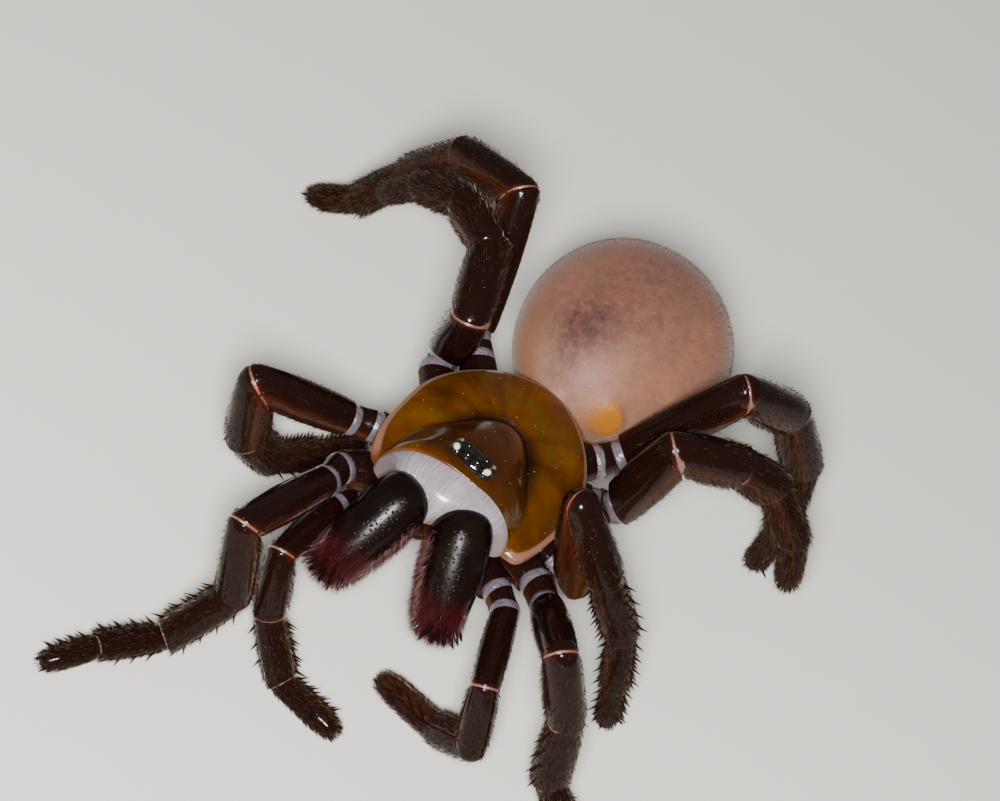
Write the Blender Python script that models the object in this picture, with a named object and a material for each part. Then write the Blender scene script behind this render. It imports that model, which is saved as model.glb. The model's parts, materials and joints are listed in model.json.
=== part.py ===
"""Trapdoor spider, adult female, life size, standing still with its legs drawn in.

Metres in the scene, millimetres in this file's own sizes. The animal faces -Y and +X is its left.
Body places are measured from the middle of the carapace's margin, which stands BODY_HEIGHT over
the floor. The floor is z = 0.
"""

import math

import bmesh
import bpy
from mathutils import Matrix, Vector

MM = 0.001
GAP = 0.3
HALF_GAP = GAP / 2

# Where the middle of the carapace's margin stands, so that the whole is centred on the origin
BODY_X = -0.5
BODY_Y = -0.12
BODY_HEIGHT = 9.0

# Carapace: straight-sided in front, narrower behind, with a high head part before a U-shaped groove
CARAPACE_HALF_WIDTH = 5.53
CARAPACE_FRONT = 5.25
CARAPACE_FRONT_SLANT = 0.12
CARAPACE_CORNER_REACH = 6.95
CARAPACE_CORNER_POWER = 3.2
CARAPACE_REAR = 6.4
CARAPACE_REAR_POWER = 1.76
CARAPACE_MIDDLE_Y = -0.8
CARAPACE_SIDES = 44
CARAPACE_RIM = 0.3
CARAPACE_UNDERSIDE = -0.2
CARAPACE_DOME = 1.35
CARAPACE_YAW = -5.5
HEAD_HEIGHT = 3.05
HEAD_REAR = 1.55
HEAD_SPREAD = 0.32
GROOVE_DEPTH = 0.35
GROOVE_WIDTH = 0.45

# Eye mound, just behind the front edge of the head part
EYE_MOUND_PLACE = (0.0, -4.0, 3.5)
EYE_MOUND_HALF = (1.35, 0.75, 0.45)

# Pale membrane that bulges between the front edge and the chelicerae
MEMBRANE_HALF_WIDTH = 4.5
MEMBRANE_TOP = 3.3
MEMBRANE_DEPTH = 1.6
MEMBRANE_SHAPE = [(0.0, 1.0), (0.35, 0.98), (0.7, 0.88), (1.0, 0.62)]

# Chelicerae and fangs. A pose is the heading towards its own side and the rise, in degrees.
CHELICERA_LENGTH = 7.1
CHELICERA_HALF_WIDTH = 1.68
CHELICERA_HALF_HEIGHT = 1.85
CHELICERA_BASE = {"left": (0.8, -5.8, 2.3), "right": (-1.98, -6.3, 2.1)}
CHELICERA_POSE = {"left": (30, -43), "right": (15, -40)}
CHELICERA_SHAPE = [
    (0.0, 0.42), (0.03, 0.66), (0.09, 0.86), (0.2, 0.98), (0.36, 1.0),
    (0.55, 0.97), (0.74, 0.87), (0.88, 0.72), (0.97, 0.5),
]
FANG_REACH = 3.6
FANG_RADIUS = 0.5
FANG_DEPTH = 1.65
FANG_ARCH = 0.75
RAKE_TEETH = 6
RAKE_TOOTH = (1.15, 0.26)

# Sternum block, which carries the coxae and holds the lip
STERNUM_HALF = (2.3, 3.5)
STERNUM_TOP = -0.5
STERNUM_BOTTOM = -3.9
LIP_PLACE = (0.0, -3.6, -2.9)
LIP_HALF = (1.0, 0.9, 0.75)

# Abdomen, an egg that hangs from the pedicel and swings to the animal's left
ABDOMEN_CENTRE = (1.8, 13.1, -1.1)
ABDOMEN_HALF = (6.0, 6.9, 5.45)
ABDOMEN_YAW = -10.0
ABDOMEN_PITCH = -4.0
PEDICEL_RADIUS = 0.85

# Length and half thickness of each segment, from the body outwards
SEGMENTS = {
    "palp": {
        "trochanter": (1.3, 0.78), "femur": (5.6, 0.86), "patella": (3.8, 0.92),
        "tibia": (3.9, 0.92), "tarsus": (3.4, 0.72),
    },
    "leg_1": {
        "trochanter": (1.7, 0.86), "femur": (7.6, 1.00), "patella": (4.9, 1.06),
        "tibia": (4.6, 1.00), "metatarsus": (3.8, 0.80), "tarsus": (2.6, 0.62),
    },
    "leg_2": {
        "trochanter": (1.4, 0.86), "femur": (6.8, 1.06), "patella": (4.6, 1.12),
        "tibia": (4.4, 1.04), "metatarsus": (4.0, 0.84), "tarsus": (2.8, 0.64),
    },
    "leg_3": {
        "trochanter": (1.3, 0.90), "femur": (5.8, 1.24), "patella": (4.5, 1.24),
        "tibia": (3.0, 1.14), "metatarsus": (4.0, 0.90), "tarsus": (3.0, 0.66),
    },
    "leg_4": {
        "trochanter": (1.5, 0.92), "femur": (8.4, 1.14), "patella": (5.4, 1.18),
        "tibia": (5.2, 1.06), "metatarsus": (4.8, 0.84), "tarsus": (2.9, 0.65),
    },
}

# The pose. The hip is the outer end of the coxa. Each segment then has a heading, in degrees from
# straight ahead towards its own side, and a rise over the level. A tarsus with a heading alone
# reaches down to the floor.
POSE = {
    "left_palp": {
        "hip": (4.6, -5.3, -2.3), "trochanter": (50, 1), "femur": (16, 4),
        "patella": (57, -67), "tibia": (-130, -45), "tarsus": (-100, None),
    },
    "left_leg_1": {
        "hip": (5.95, -3.9, -1.45), "trochanter": (47, 8), "femur": (20, 35),
        "patella": (97, -62), "tibia": (75, -74), "metatarsus": (85, -38), "tarsus": (80, None),
    },
    "left_leg_2": {
        "hip": (6.15, -1.9, -1.5), "trochanter": (80, -10), "femur": (-64, 71),
        "patella": (86, -44), "tibia": (104, -54), "metatarsus": (96, -70), "tarsus": (90, None),
    },
    "left_leg_3": {
        "hip": (5.9, 3.0, -1.4), "trochanter": (118, 14), "femur": (126, 80),
        "patella": (132, -13), "tibia": (124, -26), "metatarsus": (100, -48), "tarsus": (95, -70),
    },
    "left_leg_4": {
        "hip": (4.6, 5.7, -1.45), "trochanter": (140, 14), "femur": (125, 61),
        "patella": (142, -32), "tibia": (122, -57), "metatarsus": (50, -73), "tarsus": (80, None),
    },
    "right_palp": {
        "hip": (4.45, -5.3, -3.3), "trochanter": (27, -2), "femur": (6, 9),
        "patella": (-50, -63), "tibia": (-70, -45), "tarsus": (-80, None),
    },
    "right_leg_1": {
        "hip": (6.0, -5.85, -1.3), "trochanter": (5, 12), "femur": (13, 14),
        "patella": (-75, -71), "tibia": (40, -55), "metatarsus": (40, -5), "tarsus": (35, None),
    },
    "right_leg_2": {
        "hip": (6.0, -1.9, -1.45), "trochanter": (67, -3), "femur": (50, 22),
        "patella": (-107, -77), "tibia": (-149, -46), "metatarsus": (-155, -20), "tarsus": (-150, None),
    },
    "right_leg_3": {
        "hip": (5.4, 4.2, -1.6), "trochanter": (175, 0), "femur": (-5, 72),
        "patella": (160, 14), "tibia": (114, 6), "metatarsus": (120, -40), "tarsus": (120, -60),
    },
    "right_leg_4": {
        "hip": (4.0, 6.7, -1.6), "trochanter": (140, 4), "femur": (150, 54),
        "patella": (120, -30), "tibia": (110, -64), "metatarsus": (100, -68), "tarsus": (95, None),
    },
}
COXA_ROOT_Y = {"palp": -3.1, "leg_1": -2.0, "leg_2": -0.5, "leg_3": 1.2, "leg_4": 2.7}
COXA_ROOT_DROP = 0.65
COXA_SIZES = [(1.0, 1.05), (1.3, 1.15), (0.92, 0.90)]
PAIR_ORDER = ["palp", "leg_1", "leg_2", "leg_3", "leg_4"]

# A foot stands this share of its radius over the floor, so that the floor cuts a small flat on it
FOOT_PRESS = 0.74

LEG_SIDES = 10
BODY_SIDES = 28
UP = Vector((0, 0, 1))


def clear_scene():
    for obj in list(bpy.data.objects):
        bpy.data.objects.remove(obj, do_unlink=True)


def material(name, hex_colour, roughness):
    """A Principled material with one colour, given as sRGB hex."""
    made = bpy.data.materials.new(name)
    made.use_nodes = True
    shader = made.node_tree.nodes["Principled BSDF"]
    channels = [int(hex_colour[i:i + 2], 16) / 255 for i in (0, 2, 4)]
    linear = [c / 12.92 if c <= 0.04045 else ((c + 0.055) / 1.055) ** 2.4 for c in channels]
    shader.inputs["Base Color"].default_value = (*linear, 1.0)
    shader.inputs["Roughness"].default_value = roughness
    shader.inputs["Metallic"].default_value = 0.0
    return made


def body_point(point):
    """A place measured from the carapace, as a place over the floor, both in millimetres."""
    return Vector(point) + Vector((BODY_X, BODY_Y, BODY_HEIGHT))


def add_object(name, bm, surface):
    """The mesh, in millimetres, as one object in metres with smooth sides."""
    bmesh.ops.recalc_face_normals(bm, faces=bm.faces)
    bmesh.ops.scale(bm, vec=(MM, MM, MM), verts=bm.verts)
    mesh = bpy.data.meshes.new(name)
    bm.to_mesh(mesh)
    bm.free()
    mesh.materials.append(surface)
    mesh.shade_smooth()
    mesh.set_sharp_from_angle(angle=math.radians(50))
    obj = bpy.data.objects.new(name, mesh)
    bpy.context.scene.collection.objects.link(obj)
    return obj


def loft(rings):
    """A closed mesh over rings of points. A ring of one point closes its end to a tip."""
    bm = bmesh.new()
    loops = [[bm.verts.new(p) for p in ring] for ring in rings]
    for before, after in zip(loops, loops[1:]):
        count = max(len(before), len(after))
        for i in range(count):
            j = (i + 1) % count
            if len(before) == 1:
                bm.faces.new((before[0], after[i], after[j]))
            elif len(after) == 1:
                bm.faces.new((before[i], after[0], before[j]))
            else:
                bm.faces.new((before[i], after[i], after[j], before[j]))
    for end in (loops[0], loops[-1]):
        if len(end) > 2:
            bm.faces.new(end)
    bmesh.ops.recalc_face_normals(bm, faces=bm.faces)
    return bm


def ellipse(centre, across, upward, half_width, half_height, sides):
    """A ring of points round an ellipse."""
    turns = [2 * math.pi * i / sides for i in range(sides)]
    return [
        centre + across * (half_width * math.cos(a)) + upward * (half_height * math.sin(a))
        for a in turns
    ]


def trim(bm, point, normal):
    """Cuts the closed mesh with a plane, drops what lies on the normal's side and fills the cut."""
    cut = bmesh.ops.bisect_plane(
        bm,
        geom=bm.verts[:] + bm.edges[:] + bm.faces[:],
        dist=1e-5,
        plane_co=point,
        plane_no=normal,
        clear_outer=True,
    )
    edges = [e for e in cut["geom_cut"] if isinstance(e, bmesh.types.BMEdge) and e.is_valid]
    if edges:
        bmesh.ops.contextual_create(bm, geom=edges)
    bmesh.ops.remove_doubles(bm, verts=bm.verts, dist=1e-3)


def heading(side, degrees, rise):
    """The unit direction of a segment, from its heading towards its own side and its rise."""
    turn = math.radians(degrees)
    tilt = math.radians(rise)
    return Vector((
        side * math.sin(turn) * math.cos(tilt),
        -math.cos(turn) * math.cos(tilt),
        math.sin(tilt),
    ))


def square_to(vector, axis):
    """The part of the vector that is square to the axis, at unit length."""
    left = vector - axis * vector.dot(axis)
    return left.normalized()


def carried(vector, before, after):
    """The vector turned by the least turn that takes one direction to the next."""
    return before.rotation_difference(after) @ vector


def tube(points, radii, dorsal, sides, cap_rings=2):
    """A round-ended tube through the points, with rings at each point and between them.

    radii holds, for each point, the half width and the half height. The ends are half balls.
    """
    directions = [(b - a).normalized() for a, b in zip(points, points[1:])]
    rings = []
    upward = square_to(dorsal, directions[0])
    for k, point in enumerate(points):
        before = directions[max(k - 1, 0)]
        after = directions[min(k, len(directions) - 1)]
        if k > 0:
            upward = carried(upward, before, after)
        axis = (before + after).normalized()
        up_here = square_to(upward, axis)
        across = axis.cross(up_here)
        half_width, half_height = radii[k]
        stretch = 1 / max(0.6, axis.dot(before))
        half_height *= stretch if k not in (0, len(points) - 1) else 1
        steps = [math.pi / 2 * (i + 1) / (cap_rings + 1) for i in range(cap_rings)]
        if k == 0:
            rings.append([point - axis * half_height])
            for a in reversed(steps):
                centre = point - axis * (half_height * math.sin(a))
                shrink = math.cos(a)
                rings.append(ellipse(
                    centre, across, up_here, half_width * shrink, half_height * shrink, sides))
        rings.append(ellipse(point, across, up_here, half_width, half_height, sides))
        if k == len(points) - 1:
            for a in steps:
                centre = point + axis * (half_height * math.sin(a))
                shrink = math.cos(a)
                rings.append(ellipse(
                    centre, across, up_here, half_width * shrink, half_height * shrink, sides))
            rings.append([point + axis * half_height])
    return loft(rings)


def cone(base, direction, length, radius, bend=0.0, sides=5):
    """A pointed spine. Its root lies behind the base, and bend lowers its tip."""
    axis = direction.normalized()
    across = square_to(UP if abs(axis.z) < 0.9 else Vector((1, 0, 0)), axis)
    other = axis.cross(across)
    middle = base + axis * (length * 0.55) - UP * (bend * 0.3)
    tip = base + axis * length - UP * bend
    return loft([
        ellipse(base, across, other, radius, radius, sides),
        ellipse(middle, across, other, radius * 0.6, radius * 0.6, sides),
        [tip],
    ])


def temporary(bm, name):
    """A helper object in millimetres, for a Boolean."""
    mesh = bpy.data.meshes.new(name)
    bm.to_mesh(mesh)
    bm.free()
    obj = bpy.data.objects.new(name, mesh)
    obj.hide_render = True
    obj.display_type = "WIRE"
    bpy.context.scene.collection.objects.link(obj)
    return obj


def combined(bm, others, operation):
    """The mesh joined with, or cut by, the other closed meshes, as one closed surface."""
    target = temporary(bm, "work")
    helpers = bpy.data.collections.new("helpers")
    bpy.context.scene.collection.children.link(helpers)
    for other in others:
        helper = temporary(other, "helper")
        bpy.context.scene.collection.objects.unlink(helper)
        helpers.objects.link(helper)
    boolean = target.modifiers.new("combine", "BOOLEAN")
    boolean.operation = operation
    boolean.operand_type = "COLLECTION"
    boolean.collection = helpers
    boolean.solver = "EXACT"
    bpy.context.view_layer.update()
    graph = bpy.context.evaluated_depsgraph_get()
    result = bmesh.new()
    result.from_mesh(target.evaluated_get(graph).to_mesh())
    for obj in [target, *helpers.objects]:
        bpy.data.objects.remove(obj, do_unlink=True)
    bpy.data.collections.remove(helpers)
    bmesh.ops.triangulate(result, faces=result.faces)
    keep_largest(result)
    return result


def volume_of(faces):
    """The volume a closed set of triangles holds, up to its sign and a constant share."""
    return abs(sum(
        f.verts[0].co.dot(f.verts[1].co.cross(f.verts[2].co)) for f in faces))


def keep_largest(bm):
    """Drops every closed surface but the one with the most volume."""
    left = set(bm.faces)
    surfaces = []
    while left:
        start = left.pop()
        found = {start}
        to_visit = [start]
        while to_visit:
            face = to_visit.pop()
            for edge in face.edges:
                for other in edge.link_faces:
                    if other in left:
                        left.remove(other)
                        found.add(other)
                        to_visit.append(other)
        surfaces.append(found)
    largest = max(surfaces, key=volume_of)
    dropped = [f for f in bm.faces if f not in largest]
    bmesh.ops.delete(bm, geom=dropped, context="FACES")


def carapace_edge(turn):
    """The margin's place for a turn from straight ahead towards the left, seen from above."""
    in_front = math.cos(turn) > 0
    reach = CARAPACE_CORNER_REACH if in_front else CARAPACE_REAR
    power = CARAPACE_CORNER_POWER if in_front else CARAPACE_REAR_POWER
    across = abs(math.sin(turn)) ** power
    along = abs(math.cos(turn)) ** power
    fullness = 1 / (across + along) ** (1 / power)
    x = CARAPACE_HALF_WIDTH * math.sin(turn) * fullness
    y = -reach * math.cos(turn) * fullness
    return x, max(y, front_edge(x))


def front_edge(x):
    """Where the straight front edge runs. It lies a little aslant to the carapace's middle line."""
    return CARAPACE_FRONT_SLANT * x - CARAPACE_FRONT


def carapace_point(x, y, z):
    """A place on the carapace, which is turned a little from the line of the legs."""
    yaw = Matrix.Rotation(math.radians(CARAPACE_YAW), 3, "Z")
    return body_point(yaw @ Vector((x, y, z)))


def carapace_height(x, y, share):
    """The top's height over the margin at a place, where share runs from the middle to the margin."""
    dome = CARAPACE_RIM + CARAPACE_DOME * max(0.0, 1 - share ** 2) ** 0.8
    ahead = (HEAD_REAR - HEAD_SPREAD * x * x - y) / math.sqrt(1 + (2 * HEAD_SPREAD * x) ** 2)
    groove = GROOVE_DEPTH * math.exp(-(ahead / GROOVE_WIDTH) ** 2) * (1 - share ** 4)
    head = 0.0
    if y < HEAD_REAR:
        half = math.sqrt((HEAD_REAR - y) / HEAD_SPREAD)
        rise = HEAD_HEIGHT * ((HEAD_REAR - y) / (HEAD_REAR + CARAPACE_FRONT)) ** 0.62
        head = rise * max(0.0, 1 - (abs(x) / half) ** 2.6) ** 0.5
    return dome + head - groove


def make_carapace(surface):
    """The back shield of the front body, with a flat underside and an upright front face."""
    shares = [1.0, 0.94, 0.82, 0.66, 0.48, 0.3, 0.14]
    bevel = 0.12
    inset = 0.9
    outline = [
        carapace_edge(2 * math.pi * (i + 0.5) / CARAPACE_SIDES) for i in range(CARAPACE_SIDES)]
    rings = [
        [carapace_point(x * inset, y * inset, CARAPACE_UNDERSIDE) for x, y in outline],
        [carapace_point(x, y, CARAPACE_UNDERSIDE + bevel) for x, y in outline],
    ]
    for share in shares:
        ring = []
        for x, y in outline:
            px = x * share
            py = CARAPACE_MIDDLE_Y + (y - CARAPACE_MIDDLE_Y) * share
            ring.append(carapace_point(px, py, carapace_height(px, py, share)))
        rings.append(ring)
    peak = carapace_height(0, CARAPACE_MIDDLE_Y, 0.0)
    rings.append([carapace_point(0, CARAPACE_MIDDLE_Y, peak)])
    pocket = eye_mound(GAP)
    return add_object("carapace", combined(loft(rings), [pocket], "DIFFERENCE"), surface)


def eye_mound(grow):
    """The low mound that carries the eyes, larger all round by grow."""
    half = [h + grow for h in EYE_MOUND_HALF]
    bm = bmesh.new()
    bmesh.ops.create_icosphere(bm, subdivisions=2, radius=1.0)
    for v in bm.verts:
        v.co = carapace_point(*(p + c * h for p, c, h in zip(EYE_MOUND_PLACE, v.co, half)))
    return bm


def eye_places():
    """Each eye's place on the mound and its radius: four in a front row, four behind."""
    rows = [(0.36, -0.28, 0.25), (1.02, -0.22, 0.27), (0.62, 0.26, 0.20), (1.06, 0.26, 0.23)]
    return [(side * x, y, r) for x, y, r in rows for side in (-1, 1)]


def make_eyes(surface):
    """The eye mound with eight domed eyes, in one piece."""
    balls = []
    mound_x, mound_y, mound_z = EYE_MOUND_PLACE
    half_x, half_y, half_z = EYE_MOUND_HALF
    for x, y, radius in eye_places():
        lift = half_z * math.sqrt(max(0.05, 1 - (x / half_x) ** 2 - (y / half_y) ** 2))
        ball = bmesh.new()
        bmesh.ops.create_icosphere(ball, subdivisions=1, radius=radius)
        centre = carapace_point(mound_x + x, mound_y + y, mound_z + lift)
        bmesh.ops.translate(ball, verts=ball.verts, vec=centre)
        balls.append(ball)
    return add_object("eyes", combined(eye_mound(0), balls, "UNION"), surface)


def chelicera_frame(side_name):
    """The start, axis and upper side of a basal segment."""
    side = 1 if side_name == "left" else -1
    turn, rise = CHELICERA_POSE[side_name]
    axis = heading(side, turn, rise)
    return body_point(CHELICERA_BASE[side_name]), axis, square_to(UP, axis)


def chelicera_body(side_name, grow):
    """One basal segment: a stout oval, rounded behind and blunt in front."""
    base, axis, upward = chelicera_frame(side_name)
    across = axis.cross(upward)
    rings = [[base - axis * (grow + 0.05)]]
    for along, share in CHELICERA_SHAPE:
        centre = base + axis * (CHELICERA_LENGTH * along)
        rings.append(ellipse(
            centre, across, upward,
            CHELICERA_HALF_WIDTH * share + grow, CHELICERA_HALF_HEIGHT * share + grow, 14))
    rings.append([base + axis * (CHELICERA_LENGTH + grow)])
    return loft(rings)


def make_chelicera(side_name, surface):
    """The basal segment with its rake of short teeth along the upper front edge."""
    side = 1 if side_name == "left" else -1
    base, axis, upward = chelicera_frame(side_name)
    across = axis.cross(upward) * side
    bm = chelicera_body(side_name, 0)
    front = carapace_point(0, front_edge(0) - GAP, 0)
    other_front = carapace_point(1, front_edge(1) - GAP, 0)
    trim(bm, front, UP.cross(other_front - front).normalized())
    length, radius = RAKE_TOOTH
    teeth = []
    for k in range(RAKE_TEETH):
        angle = math.radians(35 + 22 * k)
        share = 0.62 if k % 2 else 0.72
        root = (base + axis * (CHELICERA_LENGTH * 0.88)
                + across * (CHELICERA_HALF_WIDTH * share * math.cos(angle))
                + upward * (CHELICERA_HALF_HEIGHT * share * math.sin(angle)))
        outward = axis * 0.8 + across * (0.5 * math.cos(angle)) + upward * (0.5 * math.sin(angle))
        teeth.append(cone(root, outward, length, radius))
    return add_object("chelicera_" + side_name, combined(bm, teeth, "UNION"), surface)


def make_fang(side_name, surface):
    """The fang, folded back under its basal segment."""
    base, axis, upward = chelicera_frame(side_name)
    across = axis.cross(upward)
    hinge = base + axis * (CHELICERA_LENGTH * 0.96)
    rings = []
    steps = 7
    for k in range(steps + 1):
        share = k / steps
        along = -FANG_REACH * share ** 0.9
        depth = FANG_DEPTH + FANG_ARCH * math.sin(math.pi * (0.12 + 0.88 * share))
        point = hinge + axis * along - upward * depth
        if k == steps:
            rings.append([point])
            break
        radius = FANG_RADIUS * (1 - share) ** 0.7
        turn = math.radians(-80 + 75 * min(1, 2 * share))
        direction = (axis * -math.cos(turn) + upward * math.sin(turn)).normalized()
        side_way = direction.cross(across).normalized()
        rings.append(ellipse(point, across, side_way, radius * 0.9, radius, 8))
    return add_object("fang_" + side_name, loft(rings), surface)


def make_membrane(surface):
    """The pale pad under the front edge, hollowed where the chelicerae sit in it."""
    arch_points = 24
    fullness = 0.77
    rings = []
    for share, shrink in MEMBRANE_SHAPE:
        ring = []
        for i in range(arch_points):
            turn = math.pi * i / (arch_points - 1)
            across = math.copysign(abs(math.cos(turn)) ** fullness, math.cos(turn))
            x = MEMBRANE_HALF_WIDTH * shrink * across
            y = front_edge(x) - GAP - MEMBRANE_DEPTH * share
            ring.append(carapace_point(x, y, MEMBRANE_TOP * shrink * math.sin(turn)))
        rings.append(ring)
    sockets = [chelicera_body(name, GAP) for name in CHELICERA_POSE]
    return add_object(
        "cheliceral_membrane", combined(loft(rings), sockets, "DIFFERENCE"), surface)


def sternum_bodies(grow):
    """The block between the coxae and the lip in front of it, larger all round by grow."""
    half_x, half_y = STERNUM_HALF
    depth = STERNUM_TOP - STERNUM_BOTTOM
    rings = []
    for share, shrink in ((0.0, 0.78), (0.7, 0.9), (0.88, 0.86), (0.97, 0.6)):
        rise = grow if share == 0.0 else -grow * share
        centre = body_point((0, 0, STERNUM_TOP - depth * share + rise))
        rings.append(ellipse(
            centre, Vector((1, 0, 0)), Vector((0, 1, 0)),
            half_x * shrink + grow, half_y * shrink + grow, 20))
    rings.append([body_point((0, 0, STERNUM_BOTTOM - grow))])
    lip = bmesh.new()
    bmesh.ops.create_icosphere(lip, subdivisions=2, radius=1.0)
    for v in lip.verts:
        offset = Vector(c * (half + grow) for c, half in zip(v.co, LIP_HALF))
        v.co = body_point(Vector(LIP_PLACE) + offset)
    return loft(rings), lip


def make_sternum(surface):
    """The block between the coxae, whose lower face is the sternum, with the lip in front."""
    block, lip = sternum_bodies(0)
    return add_object("sternum", combined(block, [lip], "UNION"), surface)


def abdomen_matrix():
    yaw = Matrix.Rotation(math.radians(ABDOMEN_YAW), 3, "Z")
    return yaw @ Matrix.Rotation(math.radians(ABDOMEN_PITCH), 3, "X")


def abdomen_point(along, turn, grow=0.0):
    """A point of the egg. along runs from -1 at the front to 1 at the rear."""
    half_x, half_y, half_z = ABDOMEN_HALF
    girth = math.sqrt(max(0.0, 1 - along ** 2)) * (1 + 0.12 * along)
    flat = 0.94 if math.sin(turn) < 0 else 1.0
    local = Vector((
        (half_x * girth + grow) * math.cos(turn),
        half_y * along,
        (half_z * girth * flat + grow) * math.sin(turn),
    ))
    return body_point(Vector(ABDOMEN_CENTRE) + abdomen_matrix() @ local)


def make_abdomen(surface):
    rings = [[abdomen_point(-1, 0)]]
    steps = 15
    for k in range(1, steps):
        along = -math.cos(math.pi * k / steps)
        rings.append([
            abdomen_point(along, 2 * math.pi * i / BODY_SIDES) for i in range(BODY_SIDES)])
    rings.append([abdomen_point(1, 0)])
    return add_object("abdomen", loft(rings), surface)


def make_pedicel(surface):
    """The narrow waist between the two parts of the body."""
    start = body_point((0.0, STERNUM_HALF[1] * 0.88 + GAP, -1.7))
    end = abdomen_point(-1, 0) + Vector((0.2, 0.9, 0))
    radii = [(PEDICEL_RADIUS, PEDICEL_RADIUS)] * 2
    bm = tube([start, end], radii, UP, 12)
    trim(bm, start, Vector((0, -1, 0)))
    cutter = []
    for along in (-1, -0.97, -0.9, -0.75, -0.5, 0):
        if along == -1:
            cutter.append([abdomen_point(-1, 0) - Vector((0, GAP, 0))])
        else:
            cutter.append([
                abdomen_point(along, 2 * math.pi * i / 24, GAP) - Vector((0, GAP, 0))
                for i in range(24)])
    return add_object("pedicel", combined(bm, [loft(cutter)], "DIFFERENCE"), surface)


def make_spinnerets(side_name, surface):
    """One side's long outer spinneret in three rings, with the small inner one beside it."""
    side = 1 if side_name == "left" else -1
    place = abdomen_matrix()
    rear = abdomen_point(0.9, -0.5 * math.pi)
    outward = (place @ Vector((0.45 * side, 1.0, 0.05))).normalized()
    start = rear + place @ Vector((1.05 * side, 0.35, -0.25))
    points = [start + outward * d for d in (0.0, 1.2, 1.5, 2.3, 2.6, 3.1)]
    radii = [(r, r) for r in (0.72, 0.66, 0.58, 0.56, 0.48, 0.36)]
    outer = tube(points, radii, UP, 10, cap_rings=1)
    inner_start = start + place @ Vector((-0.55 * side, 0.1, -0.1))
    inner_way = (place @ Vector((0.1 * side, 1.0, -0.1))).normalized()
    inner = tube([inner_start, inner_start + inner_way * 1.1], [(0.34, 0.34)] * 2, UP, 8, 1)
    whole = combined(outer, [inner], "UNION")
    cutter = loft(
        [[abdomen_point(-1, 0)]]
        + [[abdomen_point(a, 2 * math.pi * i / 28, GAP) + place @ Vector((0, GAP, 0))
            for i in range(28)] for a in (-0.6, 0.0, 0.4, 0.65, 0.8, 0.9, 0.96, 0.99)]
        + [[abdomen_point(1, 0) + place @ Vector((0, GAP, 0))]])
    return add_object("spinnerets_" + side_name, combined(whole, [cutter], "DIFFERENCE"), surface)


def limb_points(name):
    """The joints of one limb, from the coxa's root to the tip of the tarsus."""
    side = 1 if name.startswith("left") else -1
    pair = name.split("_", 1)[1]
    pose = POSE[name]
    hip = Vector(pose["hip"])
    hip.x *= side
    root_y = COXA_ROOT_Y[pair]
    half_x, half_y = STERNUM_HALF
    root_x = side * half_x * 0.9 * math.sqrt(1 - (root_y / half_y) ** 2)
    points = {
        "root": body_point((root_x, root_y, hip.z - COXA_ROOT_DROP)), "hip": body_point(hip)}
    here = points["hip"]
    for segment, (length, radius) in SEGMENTS[pair].items():
        turn, rise = pose[segment]
        if rise is None:
            drop = here.z - radius * FOOT_PRESS
            rise = -math.degrees(math.asin(max(-1.0, min(1.0, drop / length))))
        here = here + heading(side, turn, rise) * length
        points[segment] = here
    return points


def joint_plane(before, joint, after):
    """The plane halfway through a bent joint: its point and its normal, pointing outwards."""
    inward = (joint - before).normalized()
    outward = (after - joint).normalized()
    return joint, (inward + outward).normalized()


def segment_tube(start, end, radius, dorsal, swell):
    """One straight segment, deeper than wide and fullest near its outer third."""
    stations = [(0.0, 0.9), (0.2, 0.98), (0.55, swell), (0.85, 1.0), (1.0, 0.94)]
    points = [start.lerp(end, t) for t, _ in stations]
    radii = [(radius * share * 0.94, radius * share * 1.06) for _, share in stations]
    return tube(points, radii, dorsal, LEG_SIDES)


def coxa_bounds(name):
    """The planes that part a coxa from its neighbours on the same side."""
    side_name, pair = name.split("_", 1)
    index = PAIR_ORDER.index(pair)
    mine = limb_points(name)
    planes = []
    for step in (-1, 1):
        if not 0 <= index + step < len(PAIR_ORDER):
            continue
        other = limb_points(side_name + "_" + PAIR_ORDER[index + step])
        inner = (mine["root"] + other["root"]) / 2
        outer = (mine["hip"] + other["hip"]) / 2
        along = (outer - inner).normalized()
        towards = other["root"] + other["hip"] - mine["root"] - mine["hip"]
        normal = square_to(towards, along)
        planes.append((inner - normal * HALF_GAP, normal))
    return planes


def make_hip(name, joints, dorsal, surface):
    """Coxa and trochanter in one piece, wedged between its neighbours."""
    pair = name.split("_", 1)[1]
    radius = SEGMENTS[pair]["trochanter"][1]
    root = joints["root"]
    hip = joints["hip"]
    end = joints["trochanter"]
    points = [root, root.lerp(hip, 0.5), hip, hip.lerp(end, 0.5), end]
    radii = COXA_SIZES + [(radius * 1.04, radius * 1.04), (radius * 0.96, radius * 0.96)]
    bm = tube(points, radii, dorsal, LEG_SIDES)
    for point, normal in coxa_bounds(name):
        trim(bm, point, normal)
    point, normal = joint_plane(hip, end, joints["femur"])
    trim(bm, point - normal * HALF_GAP, normal)
    bm = combined(bm, sternum_bodies(GAP), "DIFFERENCE")
    return add_object(name + "_coxa", bm, surface)


def make_claws(tip, axis, dorsal):
    """A pair of claws at the end of a tarsus, curving down."""
    across = axis.cross(dorsal)
    return [
        cone(tip - axis * 0.35 + across * (0.22 * s), axis + across * (0.25 * s) + dorsal * 0.1,
             1.15, 0.25, bend=0.25)
        for s in (-1, 1)
    ]


def side_spines(start, end, radius, dorsal, count, length):
    """Two rows of stout spines along the lower sides of a segment."""
    axis = (end - start).normalized()
    upward = square_to(dorsal, axis)
    across = axis.cross(upward)
    spines = []
    for k in range(count):
        share = (k + 0.6) / count
        for s in (-1, 1):
            out = across * s - upward * 0.35
            base = start.lerp(end, share) + out.normalized() * (radius * 0.6)
            spines.append(cone(base, out + axis * 0.7, length, 0.25, sides=4))
    return spines


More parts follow.
